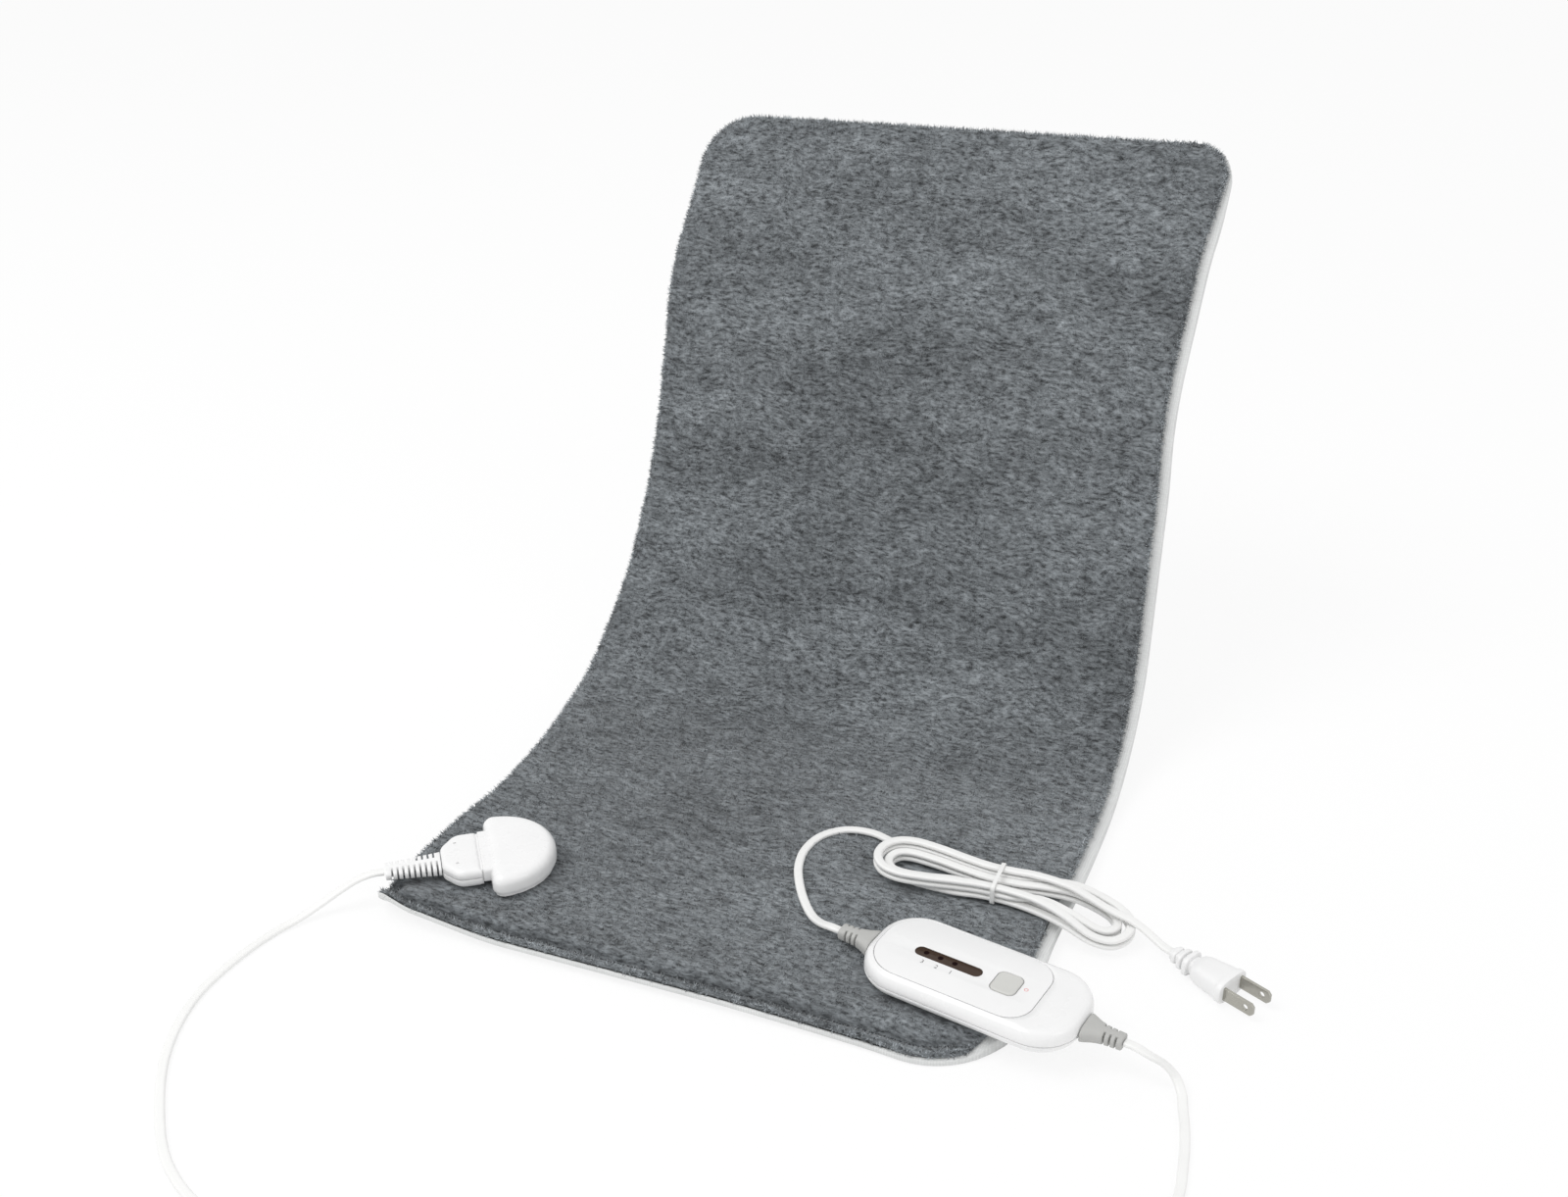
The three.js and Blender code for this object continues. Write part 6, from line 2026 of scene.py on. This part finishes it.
INNER_FINISHES = {
    "red resin": ["film_capacitor"],
    "black resin": ["microcontroller", "triac", "switch_body", "switch_plunger"],
    "white moulding": ["pad_socket_base"],
    "plated metal": [
        "pad_socket_pin_1", "pad_socket_pin_2", "connector_contact_1", "connector_contact_2", "board_fuse",
    ],
    "steel": ["case_screw_1", "case_screw_2", "case_screw_3", "case_screw_4"],
    "board": ["circuit_board"],
    "clear lamp": ["indicator_led_1", "indicator_led_2", "indicator_led_3"],
}
LAYER_FINISHES = {
    "lower_felt_layer": ("felt", "felt"), "upper_felt_layer": ("felt", "felt"),
    "heating_wire": ("red resin", "wire_insulation"),
    "thermal_fuse_1": ("black resin", "fuse_black"), "thermal_fuse_2": ("black resin", "fuse_black"),
}


class LayersOperator(bpy.types.Operator):
    """Makes the felt layers, the heating wire and the thermal fuses inside the pad."""

    bl_idname = "heating_pad.layers"
    bl_label = "Inner layers"

    def execute(self, context):
        for node, (finish, slot) in LAYER_FINISHES.items():
            dressed(bent_softly(node + "_inside", node), finish, ROOT, slot, node)
        return {"FINISHED"}


class InnerOperator(bpy.types.Operator):
    """Gives the parts inside the socket and the handset their finishes."""

    bl_idname = "heating_pad.inner"
    bl_label = "Inner parts"

    def execute(self, context):
        for finish, names in INNER_FINISHES.items():
            for name in names:
                painted(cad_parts[name], finish)
        return {"FINISHED"}


def aimed(name, data, place, target):
    """An object at a place, pointing at a target."""
    made = linked(name, data)
    made.location = place
    made.rotation_mode = "QUATERNION"
    made.rotation_quaternion = (Vector(target) - Vector(place)).to_track_quat("-Z", "Y")
    return made


def make_camera():
    """The camera, a little to the right of the pad's front and above it."""
    s = settings("stage")
    target = Vector(s.target) + PAD_ORIGIN
    level = math.cos(s.elevation)
    back = Vector((math.sin(s.azimuth) * level, -math.cos(s.azimuth) * level, math.sin(s.elevation)))
    data = bpy.data.cameras.new("camera")
    data.sensor_width = s.sensor
    data.lens = s.focal_pixels * s.sensor / s.picture_width
    data.clip_start = 0.01
    data.clip_end = 50
    bpy.context.scene.camera = aimed("camera", data, target + back * s.distance, target)


def make_lamp(name, place, side, power):
    """A round soft lamp that shines on the pad."""
    data = bpy.data.lights.new(name, "AREA")
    data.shape = "DISK"
    data.size = side
    data.energy = power
    aimed(name, data, place, (0, 0, 0.1))


def seen_directly(shader):
    """1 where a surface is seen by the camera, or through a glossy or clear surface."""
    path = shader.node("ShaderNodeLightPath").outputs
    seen = shader.math("MAXIMUM", path["Is Camera Ray"], path["Is Glossy Ray"])
    return shader.math("MAXIMUM", seen, path["Is Transmission Ray"])


def make_world():
    """Even light from all round, shown as white where the camera sees it."""
    world = bpy.data.worlds.new("studio")
    world.use_nodes = True
    bpy.context.scene.world = world
    shader = Shader(world.node_tree)
    strength = shader.span(seen_directly(shader), 0, 1, settings("stage").world, 1)
    background = world.node_tree.nodes["Background"]
    background.inputs["Color"].default_value = (1, 1, 1, 1)
    world.node_tree.links.new(strength, background.inputs["Strength"])


FLOOR_REACH = 6
FLOOR_GLOW = 0.85


def make_floor():
    """A wide white floor that keeps the shadows."""
    sides = ((-1, -1), (1, -1), (1, 1), (-1, 1))
    floor = new_object("floor", [(x * FLOOR_REACH, y * FLOOR_REACH, 0) for x, y in sides], [(0, 1, 2, 3)])
    material, shader, surface = new_material("Pale floor")
    values = {"Base Color": (0.95, 0.95, 0.95, 1), "Roughness": 1.0, "Specular IOR Level": 0.0}
    for socket, value in values.items():
        surface.inputs[socket].default_value = value
    glow = shader.node("ShaderNodeEmission", {"Color": (1, 1, 1, 1), "Strength": 1.0}).outputs["Emission"]
    share_seen = shader.math("MULTIPLY", seen_directly(shader), FLOOR_GLOW)
    mixed = shader.node("ShaderNodeMixShader", {0: share_seen, 1: surface.outputs["BSDF"], 2: glow})
    output = material.node_tree.nodes["Material Output"]
    shader.tree.links.new(mixed.outputs[0], output.inputs["Surface"])
    floor.data.materials.append(material)


class StageOperator(bpy.types.Operator):
    """Makes the camera, lamps, floor and surrounding light."""

    bl_idname = "heating_pad.stage"
    bl_label = "Stage"

    def execute(self, context):
        s = settings("stage")
        make_camera()
        make_lamp("key_lamp", (-0.8, -0.7, 1.8), 1.2, s.key)
        make_lamp("fill_lamp", (1.3, -0.5, 1.0), 0.8, s.fill)
        make_world()
        make_floor()
        bpy.context.scene.view_settings.view_transform = "Standard"
        return {"FINISHED"}


# Panel and running order

OPERATORS = [
    StageOperator, ConnectorOperator, PlugOperator, LeadsOperator, PadOperator, LayersOperator,
    SocketOperator, HandsetOperator, InnerOperator,
]


class HeatingPadPanel(bpy.types.Panel):
    """Lists the steps that make the heating pad, and their sizes."""

    bl_idname = "VIEW3D_PT_heating_pad"
    bl_label = "Heating Pad"
    bl_space_type = "VIEW_3D"
    bl_region_type = "UI"
    bl_category = "Heating Pad"

    def draw(self, context):
        for operator in OPERATORS:
            self.layout.operator(operator.bl_idname)
        for name in GROUPS:
            box = self.layout.box()
            box.label(text=name.capitalize())
            group = getattr(context.scene, "heating_" + name)
            for key in group.__annotations__:
                box.prop(group, key)


CLASSES = [*GROUPS.values(), *OPERATORS, HeatingPadPanel]


def register():
    for made in CLASSES:
        bpy.utils.register_class(made)
    for name, group in GROUPS.items():
        setattr(bpy.types.Scene, "heating_" + name, bpy.props.PointerProperty(type=group))


def unregister():
    for name in GROUPS:
        delattr(bpy.types.Scene, "heating_" + name)
    for made in reversed(CLASSES):
        bpy.utils.unregister_class(made)


def main():
    register()
    for operator in OPERATORS:
        module, name = operator.bl_idname.split(".")
        getattr(getattr(bpy.ops, module), name)()


if __name__ == "__main__":
    main()
